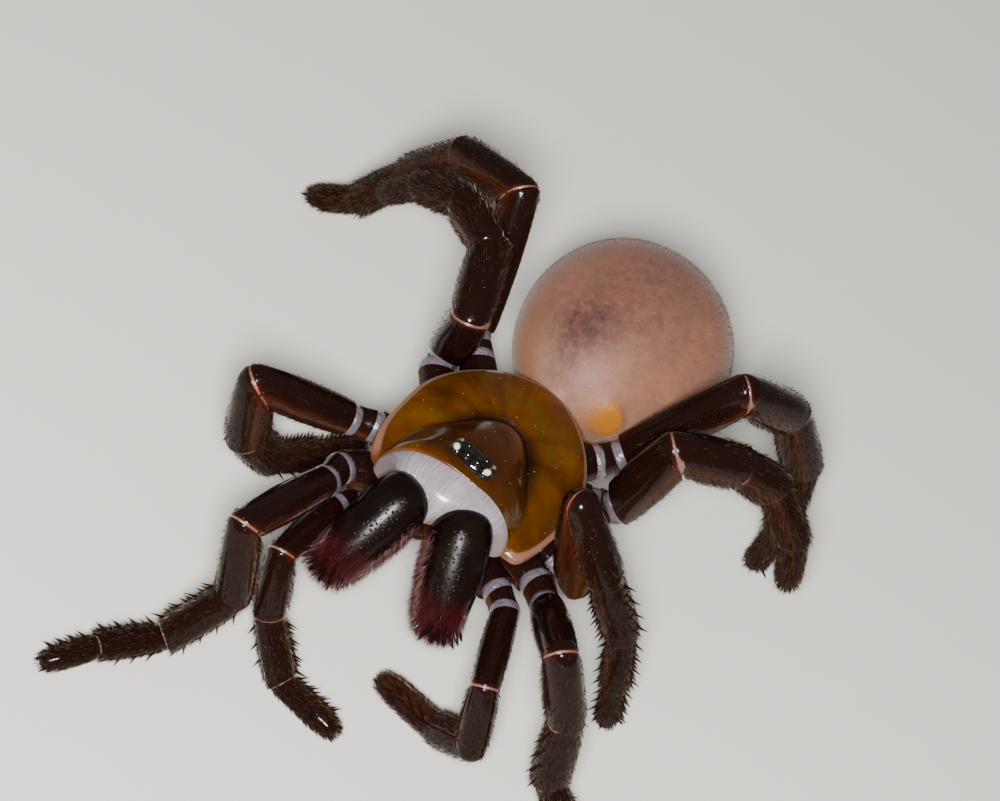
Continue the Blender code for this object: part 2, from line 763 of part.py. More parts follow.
def make_limb(name, surface, foot_surface):
    """Every node of one limb, each cut from its neighbours halfway through the joint."""
    pair = name.split("_", 1)[1]
    sizes = SEGMENTS[pair]
    joints = limb_points(name)
    order = list(joints)
    along = {
        b: (joints[b] - joints[a]).normalized() for a, b in zip(order, order[1:])}
    dorsal = {"hip": square_to(UP, along["hip"])}
    for a, b in zip(order[1:], order[2:]):
        dorsal[b] = carried(dorsal[a], along[a], along[b])
    dorsal["femur"] = square_to(UP, along["femur"])
    for a, b in zip(order[3:], order[4:]):
        dorsal[b] = carried(dorsal[a], along[a], along[b])
    make_hip(name, joints, dorsal["hip"], surface)
    foot_start = "tibia" if pair == "palp" else "metatarsus"
    for segment in order[3:]:
        if segment == foot_start:
            break
        before = order[order.index(segment) - 1]
        inner = order[order.index(segment) - 2]
        outer = order[order.index(segment) + 1]
        radius = sizes[segment][1]
        swell = 1.06 if segment == "femur" else 1.02
        bm = segment_tube(joints[before], joints[segment], radius, dorsal[segment], swell)
        point, normal = joint_plane(joints[inner], joints[before], joints[segment])
        trim(bm, point + normal * HALF_GAP, -normal)
        point, normal = joint_plane(joints[before], joints[segment], joints[outer])
        trim(bm, point - normal * HALF_GAP, normal)
        add_object(name + "_" + segment, bm, surface)
    make_foot(name, joints, sizes, dorsal, foot_start, foot_surface)


def make_foot(name, joints, sizes, dorsal, first, surface):
    """The last two segments in one piece, with side spines and claws, flat where it stands."""
    order = list(joints)
    before = order[order.index(first) - 1]
    inner = order[order.index(first) - 2]
    start = joints[before]
    middle = joints[first]
    tip = joints["tarsus"]
    wide = sizes[first][1]
    narrow = sizes["tarsus"][1]
    points = [start, start.lerp(middle, 0.3), start.lerp(middle, 0.75), middle,
              middle.lerp(tip, 0.3), middle.lerp(tip, 0.75), tip]
    shares = [wide * 0.95, wide, wide * 0.98, (wide + narrow) / 2, narrow, narrow, narrow * 0.92]
    bm = tube(points, [(r * 0.96, r * 1.02) for r in shares], dorsal[first], LEG_SIDES)
    extras = make_claws(tip, (tip - middle).normalized(), dorsal["tarsus"])
    if not name.endswith(("_3", "_4")):
        extras += side_spines(start, middle, wide, dorsal[first], 3, 1.5)
    bm = combined(bm, extras, "UNION")
    point, normal = joint_plane(joints[inner], start, middle)
    trim(bm, point + normal * HALF_GAP, -normal)
    if min(v.co.z for v in bm.verts) < 0.2:
        trim(bm, Vector((0, 0, 0)), Vector((0, 0, -1)))
    return add_object(name + "_foot", bm, surface)


def main():
    clear_scene()
    shell = material("carapace cuticle", "4A2A12", 0.18)
    dark = material("leg cuticle", "24100B", 0.25)
    foot = material("bristly foot cuticle", "2A150F", 0.45)
    black = material("chelicera cuticle", "170B0A", 0.15)
    pale = material("soft membrane", "CDB9B8", 0.3)
    skin = material("abdomen skin", "8F675C", 0.55)
    glass = material("eye lens", "0B0908", 0.05)
    make_carapace(shell)
    make_eyes(glass)
    make_membrane(pale)
    make_sternum(shell)
    for side_name in CHELICERA_POSE:
        make_chelicera(side_name, black)
        make_fang(side_name, black)
        make_spinnerets(side_name, skin)
    make_pedicel(skin)
    make_abdomen(skin)
    for name in POSE:
        make_limb(name, dark, foot)


main()
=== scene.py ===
"""Trapdoor spider, adult female: the visible shells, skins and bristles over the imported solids.

Sizes are in millimetres unless a name says otherwise. Body places are measured from the middle of
the carapace's margin. The animal faces -Y and +X is its left. The floor is z = 0.
"""

import json
import math

import bmesh
import bpy
import numpy as np
from bpy.props import FloatProperty, FloatVectorProperty, IntProperty, PointerProperty
from mathutils import Matrix, Vector

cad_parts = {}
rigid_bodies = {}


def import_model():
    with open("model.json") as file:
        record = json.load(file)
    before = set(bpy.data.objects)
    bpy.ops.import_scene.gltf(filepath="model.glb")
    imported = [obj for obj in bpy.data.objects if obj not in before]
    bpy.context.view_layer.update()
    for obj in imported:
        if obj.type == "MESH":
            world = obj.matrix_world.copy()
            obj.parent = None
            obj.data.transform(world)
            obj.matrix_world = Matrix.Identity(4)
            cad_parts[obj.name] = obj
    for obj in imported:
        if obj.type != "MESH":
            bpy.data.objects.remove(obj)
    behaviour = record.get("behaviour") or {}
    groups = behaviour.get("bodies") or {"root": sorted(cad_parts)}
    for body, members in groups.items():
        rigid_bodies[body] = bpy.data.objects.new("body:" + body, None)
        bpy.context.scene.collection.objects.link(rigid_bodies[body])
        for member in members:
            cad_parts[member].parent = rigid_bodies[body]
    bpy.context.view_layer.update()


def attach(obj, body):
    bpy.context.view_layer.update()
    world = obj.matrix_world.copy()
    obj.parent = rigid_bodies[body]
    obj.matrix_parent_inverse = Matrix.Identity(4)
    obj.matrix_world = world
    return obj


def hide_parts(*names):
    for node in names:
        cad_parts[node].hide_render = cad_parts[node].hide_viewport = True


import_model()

bl_info = {
    "name": "Trapdoor spider",
    "version": (1, 0, 0),
    "blender": (4, 5, 0),
    "location": "3D View > Sidebar > Spider",
    "description": "Dresses the solids of a life-size trapdoor spider with shells, skins and bristles",
    "category": "Add Mesh",
}

MM = 0.001
UP = Vector((0, 0, 1))
LEFTWARDS = Vector((1, 0, 0))
REARWARDS = Vector((0, 1, 0))
BODY_PLACE = Vector((-0.5, -0.12, 9.0))

# Carapace
CARAPACE_SIDES = 224
CARAPACE_STEPS = 64
CARAPACE_HALF_WIDTH = 5.53
CARAPACE_FRONT = 5.25
CARAPACE_FRONT_SLANT = 0.12
CARAPACE_CORNER_REACH = 6.95
CARAPACE_CORNER_POWER = 3.2
CORNER_ROUND = 0.22
CARAPACE_REAR = 6.4
CARAPACE_REAR_POWER = 1.76
CARAPACE_MIDDLE_Y = -0.8
CARAPACE_RIM = 0.3
CARAPACE_UNDERSIDE = -0.2
CARAPACE_DOME = 1.35
RIM_STEP = 0.05
CARAPACE_YAW = math.radians(-5.5)
HEAD_HEIGHT = 3.05
HEAD_REAR = 1.55
HEAD_SPREAD = 0.32
HEAD_FULLNESS = 2.6
HEAD_NARROWING = 0.13
HEAD_FLANK = 0.08
GROOVE_SHADE_WIDTH = 0.62
# Each furrow's turn from straight ahead, in degrees, and its share of the full depth
FURROWS = [(52, 0.8), (-52, 0.8), (96, 1.0), (-96, 1.0), (140, 0.9), (-140, 0.9)]
FURROW_MIDDLE_Y = 0.6
FURROW_WIDTH = 0.11
EYE_MOUND_PLACE = (-0.15, -4.0, 3.5)
EYE_MOUND_HALF = (1.3, 0.72, 0.42)
EYE_OVAL = 0.35
EYE_SUNK = 0.4
EYE_COLLAR = (0.22, 0.22, 0.3)
EYE_GRID = (28, 20)
# Each pair's place on the mound, its radius and how much painted pearly eyeshine its lens has
EYE_ROWS = [
    (0.32, -0.2, 0.31, 0.0), (0.97, -0.26, 0.34, 1.0), (0.62, 0.36, 0.22, 0.0), (1.04, 0.3, 0.27, 0.4)]

# Pale membrane between the carapace's front edge and the chelicerae
MEMBRANE_HALF_WIDTH = 4.1
MEMBRANE_TOP = 3.3
MEMBRANE_DEPTH = 1.6
MEMBRANE_START = 0.12
MEMBRANE_NOSE = 0.65
MEMBRANE_FULLNESS = 0.77
MEMBRANE_SIDES = 97
MEMBRANE_STEPS = 25
MEMBRANE_SHAPE = [(0.0, 1.0), (0.3, 0.99), (0.6, 0.925), (0.82, 0.8), (0.94, 0.62), (1.0, 0.3)]

# Soft skin of the sides
SIDE_SKIN_SIDES = 160
SIDE_SKIN_STEPS = 14
SIDE_SKIN_DEPTH = 2.3

# Chelicerae and fangs
CHELICERA_SIDES = 64
CHELICERA_STEPS = 56
CHELICERA_LENGTH = 7.1
CHELICERA_HALF = (1.68, 1.85)
CHELICERA_FULLNESS = 2.15
CHELICERA_BASE = {"left": (0.8, -5.8, 2.3), "right": (-1.98, -6.3, 2.1)}
CHELICERA_POSE = {"left": (30, -43), "right": (15, -40)}
CHELICERA_SHAPE = [
    (0.0, 0.42), (0.03, 0.66), (0.09, 0.86), (0.2, 0.98), (0.36, 1.0),
    (0.55, 0.97), (0.74, 0.87), (0.88, 0.72), (0.97, 0.5), (1.0, 0.0),
]
FANG_ROOT = 0.96
FANG_REACH = 3.6
FANG_RADIUS = 0.5
FANG_DEPTH = 1.65
FANG_ARCH = 0.75
FANG_SIDES = 24
FANG_STEPS = 28
# The rake's teeth go round the end in three rows, each with its share of the girth and the length
RAKE_ROWS = [(0.66, 0.885), (0.52, 0.95), (0.6, 0.92)]
RAKE_COUNT = 13
RAKE_START = 22.0
RAKE_SPACING = 11.5
TOOTH_SIZE = (0.17, 0.17, 0.8)
TOOTH_BEND = 0.1

# Sternum block and lip
STERNUM_HALF = (2.3, 3.5)
STERNUM_TOP = -0.5
STERNUM_BOTTOM = -3.9
STERNUM_SIDES = 64
STERNUM_STEPS = 26
STERNUM_SHAPE = [(0.0, 0.78), (0.7, 0.9), (0.88, 0.86), (0.97, 0.6), (1.0, 0.0)]
LIP_PLACE = Vector((0.0, -3.6, -2.9))
LIP_HALF = (1.0, 0.9, 0.75)

# Abdomen
ABDOMEN_CENTRE = Vector((1.8, 13.1, -1.1))
ABDOMEN_HALF = (6.0, 6.9, 5.45)
ABDOMEN_YAW = math.radians(-10.0)
ABDOMEN_PITCH = math.radians(-4.0)
ABDOMEN_REAR_SWELL = 0.12
ABDOMEN_UNDERSIDE = 0.94
ABDOMEN_SIDES = 128
ABDOMEN_STEPS = 110
WAIST_START = (0.0, 3.08, -1.7)
PEDICEL_RADIUS = 0.85
PEDICEL_STEPS = 14
BULGE_ALONG = -0.83
BULGE_TURN = math.radians(20)
BULGE_HEIGHT = 0.45
# A spinneret's half thickness along its three segments
SPINNERET_SHAPE = [
    (0.0, 0.72), (1.1, 0.68), (1.3, 0.56), (1.5, 0.6), (2.2, 0.57), (2.4, 0.45), (2.6, 0.5),
    (3.1, 0.36)]
SPINNERET_STEPS = 30

# Length and half thickness of each segment, from the body outwards
SEGMENTS = {
    "palp": {
        "trochanter": (1.3, 0.78), "femur": (5.6, 0.86), "patella": (3.8, 0.92),
        "tibia": (3.9, 0.92), "tarsus": (3.4, 0.72),
    },
    "leg_1": {
        "trochanter": (1.7, 0.86), "femur": (7.6, 1.00), "patella": (4.9, 1.06),
        "tibia": (4.6, 1.00), "metatarsus": (3.8, 0.80), "tarsus": (2.6, 0.62),
    },
    "leg_2": {
        "trochanter": (1.4, 0.86), "femur": (6.8, 1.06), "patella": (4.6, 1.12),
        "tibia": (4.4, 1.04), "metatarsus": (4.0, 0.84), "tarsus": (2.8, 0.64),
    },
    "leg_3": {
        "trochanter": (1.3, 0.90), "femur": (5.8, 1.24), "patella": (4.5, 1.24),
        "tibia": (3.0, 1.14), "metatarsus": (4.0, 0.90), "tarsus": (3.0, 0.66),
    },
    "leg_4": {
        "trochanter": (1.5, 0.92), "femur": (8.4, 1.14), "patella": (5.4, 1.18),
        "tibia": (5.2, 1.06), "metatarsus": (4.8, 0.84), "tarsus": (2.9, 0.65),
    },
}

# The pose. The hip is the outer end of the coxa. Each segment then has a heading, in degrees from
# straight ahead towards its own side, and a rise over the level. A tarsus with a heading alone
# reaches down to the floor.
POSE = {
    "left_palp": {
        "hip": (4.6, -5.3, -2.3), "trochanter": (50, 1), "femur": (16, 4),
        "patella": (57, -67), "tibia": (-130, -45), "tarsus": (-100, None),
    },
    "left_leg_1": {
        "hip": (5.95, -3.9, -1.45), "trochanter": (47, 8), "femur": (20, 35),
        "patella": (97, -62), "tibia": (75, -74), "metatarsus": (85, -38), "tarsus": (80, None),
    },
    "left_leg_2": {
        "hip": (6.15, -1.9, -1.5), "trochanter": (80, -10), "femur": (-64, 71),
        "patella": (86, -44), "tibia": (104, -54), "metatarsus": (96, -70), "tarsus": (90, None),
    },
    "left_leg_3": {
        "hip": (5.9, 3.0, -1.4), "trochanter": (118, 14), "femur": (126, 80),
        "patella": (132, -13), "tibia": (124, -26), "metatarsus": (100, -48), "tarsus": (95, -70),
    },
    "left_leg_4": {
        "hip": (4.6, 5.7, -1.45), "trochanter": (140, 14), "femur": (125, 61),
        "patella": (142, -32), "tibia": (122, -57), "metatarsus": (50, -73), "tarsus": (80, None),
    },
    "right_palp": {
        "hip": (4.45, -5.3, -3.3), "trochanter": (27, -2), "femur": (6, 9),
        "patella": (-50, -63), "tibia": (-70, -45), "tarsus": (-80, None),
    },
    "right_leg_1": {
        "hip": (6.0, -5.85, -1.3), "trochanter": (5, 12), "femur": (13, 14),
        "patella": (-75, -71), "tibia": (40, -55), "metatarsus": (40, -5), "tarsus": (35, None),
    },
    "right_leg_2": {
        "hip": (6.0, -1.9, -1.45), "trochanter": (67, -3), "femur": (50, 22),
        "patella": (-107, -77), "tibia": (-149, -46), "metatarsus": (-155, -20), "tarsus": (-150, None),
    },
    "right_leg_3": {
        "hip": (5.4, 4.2, -1.6), "trochanter": (175, 0), "femur": (-5, 72),
        "patella": (160, 14), "tibia": (114, 6), "metatarsus": (120, -40), "tarsus": (120, -60),
    },
    "right_leg_4": {
        "hip": (4.0, 6.7, -1.6), "trochanter": (140, 4), "femur": (150, 54),
        "patella": (120, -30), "tibia": (110, -64), "metatarsus": (100, -68), "tarsus": (95, None),
    },
}
COXA_ROOT_Y = {"palp": -3.1, "leg_1": -2.0, "leg_2": -0.5, "leg_3": 1.2, "leg_4": 2.7}
COXA_ROOT_DROP = 0.65
COXA_STATIONS = [(0.0, 1.0, 1.05), (0.5, 1.3, 1.15), (1.0, 0.98, 0.94)]
COXA_STEPS = 14
COXA_GAP = 0.06
SEGMENT_STEPS = 18
SEGMENT_FULLNESS = 2.2
SEGMENT_WIDE = 0.94
SEGMENT_HIGH = 1.06
STRAIGHT_KNEE = math.radians(20)
PAIR_ORDER = ["palp", "leg_1", "leg_2", "leg_3", "leg_4"]
FOOT_PRESS = 0.74

# How far the lowest points of shells, soft skin, bristles and spines stay over the floor
SHELL_CLEARANCE = 0.002
SKIN_CLEARANCE = 0.02
BRISTLE_CLEARANCE = 0.06
SPINE_CLEARANCE = 0.2

# The joint at the outer end of each segment: half of the gap that the soft skin bridges, the height
# of the shells' thickened edges, and how strongly their edges turn clear and red
JOINTS = {
    "hip": (0.25, 0.0, 0.05), "trochanter": (0.27, 0.0, 0.12), "femur": (0.07, 0.025, 0.8),
    "patella": (0.05, 0.02, 0.3), "tibia": (0.04, 0.01, 0.1), "metatarsus": (0.03, 0.01, 0.05)}
LIP_LOOPS = (0.5, 0.36, 0.24, 0.14, 0.06, 0.0)
LIP_REACH = 0.3
CUT_WELD = 1e-5
CUT_INSET = 0.05
CUT_HOLLOW = 0.12
JOINT_SKIN_SIDES = 36
JOINT_SKIN_STEPS = 16
JOINT_SKIN_REACH = 0.25
HIP_SWELL = 0.06

# Claws, spines and hinge knobs
THORN_SIDES = 10
THORN_STEPS = 6
KNOB_SIZE = 0.14
CLAW_RADIUS = 0.13
CLAW_BEND = 0.32
SPINE_COUNT = 10
SPINE_RADIUS = 0.085
SPINE_LENGTHS = (0.8, 0.6, 0.7)
SPINE_BEND = 0.12

# The coat of each segment: bristles to a square millimetre above and below, their length above and
# below, and how far they stand off the skin
COATS = {
    "coxa": (2, 6, 0.22, 0.5, 0.5),
    "trochanter": (2, 6, 0.18, 0.4, 0.5),
    "femur": (9, 6, 0.15, 0.5, 0.5),
    "patella": (26, 36, 0.36, 0.5, 0.5),
    "tibia": (42, 48, 0.42, 0.58, 0.45),
    "metatarsus": (75, 75, 0.42, 0.52, 0.5),
    "tarsus": (95, 110, 0.38, 0.4, 0.5),
}
HIND_FOOT_LONGER = 1.3

# Colours that no setting changes
# Painted highlights: pale dots that stand in for glints off tiny wet bumps on the carapace
CARAPACE_PAINTED_GLINT = "A08862"
# Painted highlights: paler dots that stand in for glints on the legs
LEG_PAINTED_GLINT = "604226"
JAW_OLIVE = "1E170A"
MEMBRANE_SHADE = "7C7278"
ABDOMEN_RUST = "8A5C44"
ABDOMEN_SPOT = "4E332E"
LENS_BLACK = "040303"
LENS_BROWN = "100A06"
# Painted eyeshine: a brown glow ring round a pearly patch, the pale tapetum's shine back at the light
EYESHINE_RIM = "3A1E0A"
PEARLY_EYESHINE = "C2B6A2"
RED_BRISTLE_TIP = "5A2C28"
DOWN_ROOT = "5A423C"
FLOOR_SHADE = "BAB5AC"

# The photo's camera: its heading, height and roll in degrees, and the lens
CAMERA_AZIMUTH = 3.0
CAMERA_ELEVATION = 47.5
CAMERA_ROLL = -34.5
CAMERA_DISTANCE = 250.0
IMAGE_SIZE = (1000, 801)
PIXELS_PER_MM = 18.6
BODY_PIXEL = (490.5, 458.0)
SENSOR_WIDTH = 36.0
CLIP_START = 10.0
CLIP_END = 2000.0

# The key light stands a little below the camera's line. The floor's half side is in metres
KEY_TARGET = Vector((0, 0, 5))
KEY_DISTANCE = 230.0
KEY_DROP = 5.0
FLOOR_HALF = 1.5

PATCH_SIZE = 0.003
SHELL_SIDES = 32
SHARP_EDGE = math.radians(42)
# What a grown coat keeps of its mesh's own layers
KEPT_FIELDS = (
    "tint", "along", "OFBake", "position", ".edge_verts", ".corner_vert", ".corner_edge",
    "sharp_face", "sharp_edge", "material_index")


def linear(hex_colour):
    """An sRGB hex colour as linear red, green and blue."""
    channels = [int(hex_colour[i:i + 2], 16) / 255 for i in (0, 2, 4)]
    return tuple(c / 12.92 if c <= 0.04045 else ((c + 0.055) / 1.055) ** 2.4 for c in channels)


def colour_setting(name, hex_colour, description):
    """A colour in the sidebar, from its sRGB hex value."""
    return FloatVectorProperty(
        name=name, description=description, subtype="COLOR", size=3, min=0.0, max=1.0,
        default=linear(hex_colour))


class StageSettings(bpy.types.PropertyGroup):
    key_power: FloatProperty(
        name="Key light", description="Power of the soft light beside the camera",
        default=1.7, min=0.0, unit="POWER")
    key_size: FloatProperty(
        name="Key size", description="Side of the key light", default=0.04, min=0.01, unit="LENGTH")
    sky_strength: FloatProperty(
        name="Sky", description="Strength of the even light from all round", default=0.26, min=0.0)
    floor_colour: colour_setting("Floor", "C6C2BA", "Colour of the plain floor")


class ShellSettings(bpy.types.PropertyGroup):
    amber: colour_setting("Amber", "542E02", "Light parts of the carapace")
    umber: colour_setting("Umber", "351803", "Dark parts of the carapace")
    olive: colour_setting("Olive", "423004", "Greenish clouds on the carapace's sides")
    head_brown: colour_setting("Head brown", "2C1303", "The raised head part")
    # Painted shade: the dark brown in the groove's recess; the same colour is the own dark round the
    # eye mound
    groove_shade_and_eye_brown: colour_setting("Groove brown", "140602", "The groove behind the head part")
    edge_orange: colour_setting("Edge orange", "4E2406", "The thin line along the plate's edge")
    rim_pale: colour_setting("Pale rim", "6C4C3C", "The clear rim outside the plate")
    leg_dark: colour_setting("Leg dark", "140705", "Upper side of the legs")
    leg_brown: colour_setting("Leg brown", "34190C", "Paler stripes along the legs")
    leg_orange: colour_setting("Leg orange", "3E1C06", "Clear underside of the legs")
    rim_red: colour_setting("Joint red", "3C0E05", "Edges of the leg segments at the knees")
    jaw_black: colour_setting("Jaw black", "0B0504", "Upper side of the chelicerae")
    jaw_red: colour_setting("Jaw red", "300608", "Tips of the chelicerae")
    groove_depth: FloatProperty(
        name="Groove depth", description="Depth of the U-shaped groove in millimetres",
        default=0.48, min=0.0)
    groove_width: FloatProperty(
        name="Groove width", description="Half width of the groove in millimetres",
        default=0.45, min=0.05)
    furrow_depth: FloatProperty(
        name="Furrow depth", description="Depth of the furrows that spread from the groove",
        default=0.03, min=0.0)
    lip: FloatProperty(
        name="Lips", description="Factor on the thickened edges at the joints", default=1.0, min=0.0)


class SkinSettings(bpy.types.PropertyGroup):
    membrane: colour_setting("Membrane", "978D91", "Soft skin at the joints and over the jaws")
    # Also painted shade on the jaw pad's two sides
    hip_lilac_and_pad_shade: colour_setting("Hip lilac", "544C53", "Thinner soft skin at the hips")
    joint_cream: colour_setting("Joint cream", "6A493C", "Soft skin between the outer segments")
    abdomen: colour_setting("Abdomen", "6E4C3E", "The abdomen's dusty skin")
    abdomen_dark: colour_setting("Abdomen dark", "351F22", "The darker patch along its top")
    # Painted sheen: the pale cloud over the front of the top stands in for light on the velvet; the
    # spinnerets take a little of it as their own paler tone
    abdomen_pale_and_sheen: colour_setting("Abdomen pale", "7A5A4C", "The paler cloud in front")
    bulge: colour_setting("Bulge", "84500F", "The orange swelling beside the waist")


class BristleSettings(bpy.types.PropertyGroup):
    density: FloatProperty(
        name="Density", description="Share of the full number of bristles", default=1.0, min=0.0)
    length: FloatProperty(
        name="Length", description="Factor on every bristle's length", default=1.0, min=0.0)
    radius: FloatProperty(
        name="Root radius", description="Half thickness at the root in millimetres",
        default=0.017, min=0.001)
    lift: FloatProperty(
        name="Lift", description="How far bristles stand off the skin", default=1.0, min=0.0)
    scatter: FloatProperty(
        name="Scatter", description="How much bristles point apart", default=0.26, min=0.0)
    seed: IntProperty(name="Seed", description="Fixes where the bristles grow", default=7)
    dark: colour_setting("Dark", "0E0604", "Most bristles")
    light: colour_setting("Light", "6A4A34", "Tips and the odd pale bristle")
    red: colour_setting("Red", "26060A", "Bristles at the tips of the chelicerae")
    down: colour_setting("Down", "84695F", "The abdomen's fine hair")


class SpiderSettings(bpy.types.PropertyGroup):
    stage: PointerProperty(type=StageSettings)
    shell: PointerProperty(type=ShellSettings)
    skin: PointerProperty(type=SkinSettings)
    bristle: PointerProperty(type=BristleSettings)


def body_point(point):
    """A place measured from the carapace, as a place over the floor."""
    return Vector(point) + BODY_PLACE


def side_of(name):
    """1 for a part on the animal's left and -1 for one on its right."""
    return 1 if name.startswith("left") else -1


def pair_of(limb_name):
    """A limb's name without its side, such as leg_3."""
    return limb_name.split("_", 1)[1]


def between(low, high, value):
    """0 below low, 1 above high, with a smooth way between."""
    share = min(1.0, max(0.0, (value - low) / (high - low)))
    return share * share * (3 - 2 * share)


def hump(value, width):
    """1 at zero, falling away on both sides."""
    return math.exp(-(value / width) ** 2)


def away(turn, other):
    """The angle from one turn to another by the shorter way round."""
    return math.atan2(math.sin(turn - other), math.cos(turn - other))


def turn_share(sideways, upward):
    """The turn from straight up, as a share of a whole turn that is 0.5 at the top."""
    return math.atan2(sideways, upward) / (2 * math.pi) + 0.5


def curve_through(pairs, at):
    """The value at a place on the smooth curve through the pairs of place and value."""
    places = [p for p, _ in pairs]
    values = [v for _, v in pairs]
    k = max(0, min(len(pairs) - 2, int(np.searchsorted(places, at)) - 1))
    slopes = []
    for i in (k, k + 1):
        before = max(i - 1, 0)
        after = min(i + 1, len(pairs) - 1)
        slopes.append((values[after] - values[before]) / (places[after] - places[before]))
    width = places[k + 1] - places[k]
    t = (at - places[k]) / width
    return (values[k] * (1 + 2 * t) * (1 - t) ** 2 + values[k + 1] * t * t * (3 - 2 * t)
            + width * (slopes[0] * t * (1 - t) ** 2 - slopes[1] * t * t * (1 - t)))


def square_to(vector, axis):
    """The part of the vector that is square to the axis, at unit length."""
    return (vector - axis * vector.dot(axis)).normalized()


def outward_of(off, axis, fallback):
    """The unit direction out from an axis to a place, or the fallback for a place on the axis."""
    out = off - axis * off.dot(axis)
    return out.normalized() if out.length > 1e-6 else fallback


def carried(vector, before, after):
    """The vector turned by the least turn that takes one direction to the next."""
    return before.rotation_difference(after) @ vector


def heading(side, degrees, rise):
    """The unit direction of a segment, from its heading towards its own side and its rise."""
    turn = math.radians(degrees)
    tilt = math.radians(rise)
    return Vector((
        side * math.sin(turn) * math.cos(tilt),
        -math.cos(turn) * math.cos(tilt),
        math.sin(tilt),
    ))


def ring(centre, across, upward, half_width, half_height, sides, fullness=2.0):
    """Points round an oval. A fullness over 2 makes it boxier."""
    points = []
    for i in range(sides):
        turn = 2 * math.pi * i / sides
        c, s = math.cos(turn), math.sin(turn)
        points.append(
            centre
            + across * (half_width * math.copysign(abs(c) ** (2 / fullness), c))
            + upward * (half_height * math.copysign(abs(s) ** (2 / fullness), s)))
    return points


def loft(rings):
    """A closed mesh over rings of points. A ring of one point closes its end to a tip."""
    bm = bmesh.new()
    loops = [[bm.verts.new(p) for p in points] for points in rings]
    for before, after in zip(loops, loops[1:]):
        count = max(len(before), len(after))
        for i in range(count):
            j = (i + 1) % count
            if len(before) == 1:
                bm.faces.new((before[0], after[i], after[j]))
            elif len(after) == 1:
                bm.faces.new((before[i], after[0], before[j]))
            else:
                bm.faces.new((before[i], after[i], after[j], before[j]))
    for end in (loops[0], loops[-1]):
        if len(end) > 2:
            bm.faces.new(end)
    bmesh.ops.recalc_face_normals(bm, faces=bm.faces)
    return bm


def tube(points, radii, dorsal, sides, cap_rings=6, fullness=2.0):
    """A round-ended tube through the points. radii holds each point's half width and height."""
    directions = [(b - a).normalized() for a, b in zip(points, points[1:])]
    rings = []
    upward = square_to(dorsal, directions[0])
    last = len(points) - 1
    for k, point in enumerate(points):
        before = directions[max(k - 1, 0)]
        after = directions[min(k, last - 1)]
        if k > 0:
            upward = carried(upward, before, after)
        axis = (before + after).normalized()
        up_here = square_to(upward, axis)
        across = axis.cross(up_here)
        wide, high = radii[k]
        here = ring(point, across, up_here, wide, high, sides, fullness)
        if 0 < k < last:
            rings.append(here)
            continue
        outward = axis * (high if k else -high)
        caps = []
        for i in range(1, cap_rings + 1):
            a = math.pi / 2 * i / (cap_rings + 1)
            caps.append(ring(
                point + outward * math.sin(a), across, up_here,
                wide * math.cos(a), high * math.cos(a), sides, fullness))
        cap = [here] + caps + [[point + outward]]
        rings += cap if k else cap[::-1]
    return loft(rings)


def ball(radius, sides, steps):
    """A round mesh about the origin, with its poles above and below."""
    rings = [[Vector((0, 0, -radius))]]
    for k in range(1, steps):
        turn = math.pi * k / steps
        centre = Vector((0, 0, -radius * math.cos(turn)))
        girth = radius * math.sin(turn)
        rings.append(ring(centre, LEFTWARDS, REARWARDS, girth, girth, sides))
    rings.append([Vector((0, 0, radius))])
    return loft(rings)


def gathered(rows):
    """One list for each field, from one dictionary of fields for each point."""
    return {name: [row[name] for row in rows] for name in rows[0]}


def blank_like(value):
    """Zero in the kind of a field's value."""
    return (0.0, 0.0, 0.0) if isinstance(value, (tuple, Vector)) else 0.0


def linked(name, data):
    """A new object over its data, in the scene."""
    obj = bpy.data.objects.new(name, data)
    bpy.context.scene.collection.objects.link(obj)
    return obj


class Piece:
    """A piece that grows part by part: points over the floor, faces, slots and point fields."""

    def __init__(self):
        self.points = []
        self.faces = []
        self.slots = []
        self.fields = {}
        self.unwrap = []

    def add(self, bm, slot=0, fields=None, unwrap=None, cell=(0.0, 0.0, 1.0, 1.0)):
        """Adds a part. unwrap holds each point's turn and length shares, which fill the cell."""
        start = len(self.points)
        bm.verts.index_update()
        self.points += [tuple(v.co * MM) for v in bm.verts]
        for name, values in (fields or {}).items():
            known = self.fields.setdefault(name, [])
            known += [blank_like(values[0])] * (start - len(known))
            known += values
        for face in bm.faces:
            corners = [v.index for v in face.verts]
            self.faces.append([start + c for c in corners])
            self.slots.append(slot)
            if unwrap is None:
                self.unwrap += [(0.0, 0.0)] * len(corners)
                continue
            turns = [unwrap[c][0] for c in corners]
            crossing = max(turns) - min(turns) > 0.5
            for c, turn in zip(corners, turns):
                whole = turn + 1 if crossing and turn < 0.5 else turn
                self.unwrap.append((
                    cell[0] + cell[2] * whole * 0.9, cell[1] + cell[3] * unwrap[c][1]))
        bm.free()

    def build(self, name, materials):
        """The piece as one object with its place in its mesh."""
        mesh = bpy.data.meshes.new(name)
        mesh.from_pydata(self.points, [], self.faces)
        for material in materials:
            mesh.materials.append(material)
        mesh.polygons.foreach_set("material_index", self.slots)
        for field, values in self.fields.items():
            blank = blank_like(values[0])
            full = values + [blank] * (len(self.points) - len(values))
            is_vector = isinstance(blank, tuple)
            kind = "FLOAT_VECTOR" if is_vector else "FLOAT"
            layer = mesh.attributes.new(field, kind, "POINT")
            layer.data.foreach_set("vector" if is_vector else "value", np.ravel(full))
        layer = mesh.attributes.new("unwrap", "FLOAT2", "CORNER")
        layer.data.foreach_set("vector", np.ravel(self.unwrap))
        mesh.validate()
        mesh.shade_smooth()
        mesh.set_sharp_from_angle(angle=SHARP_EDGE)
        return linked(name, mesh)


def seat(obj, slot, *nodes):
    """Sets a finished piece on the body, in place of the solids that it stands for."""
    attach(obj, "root")
    if nodes:
        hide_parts(*nodes)
    return obj


# Nodes


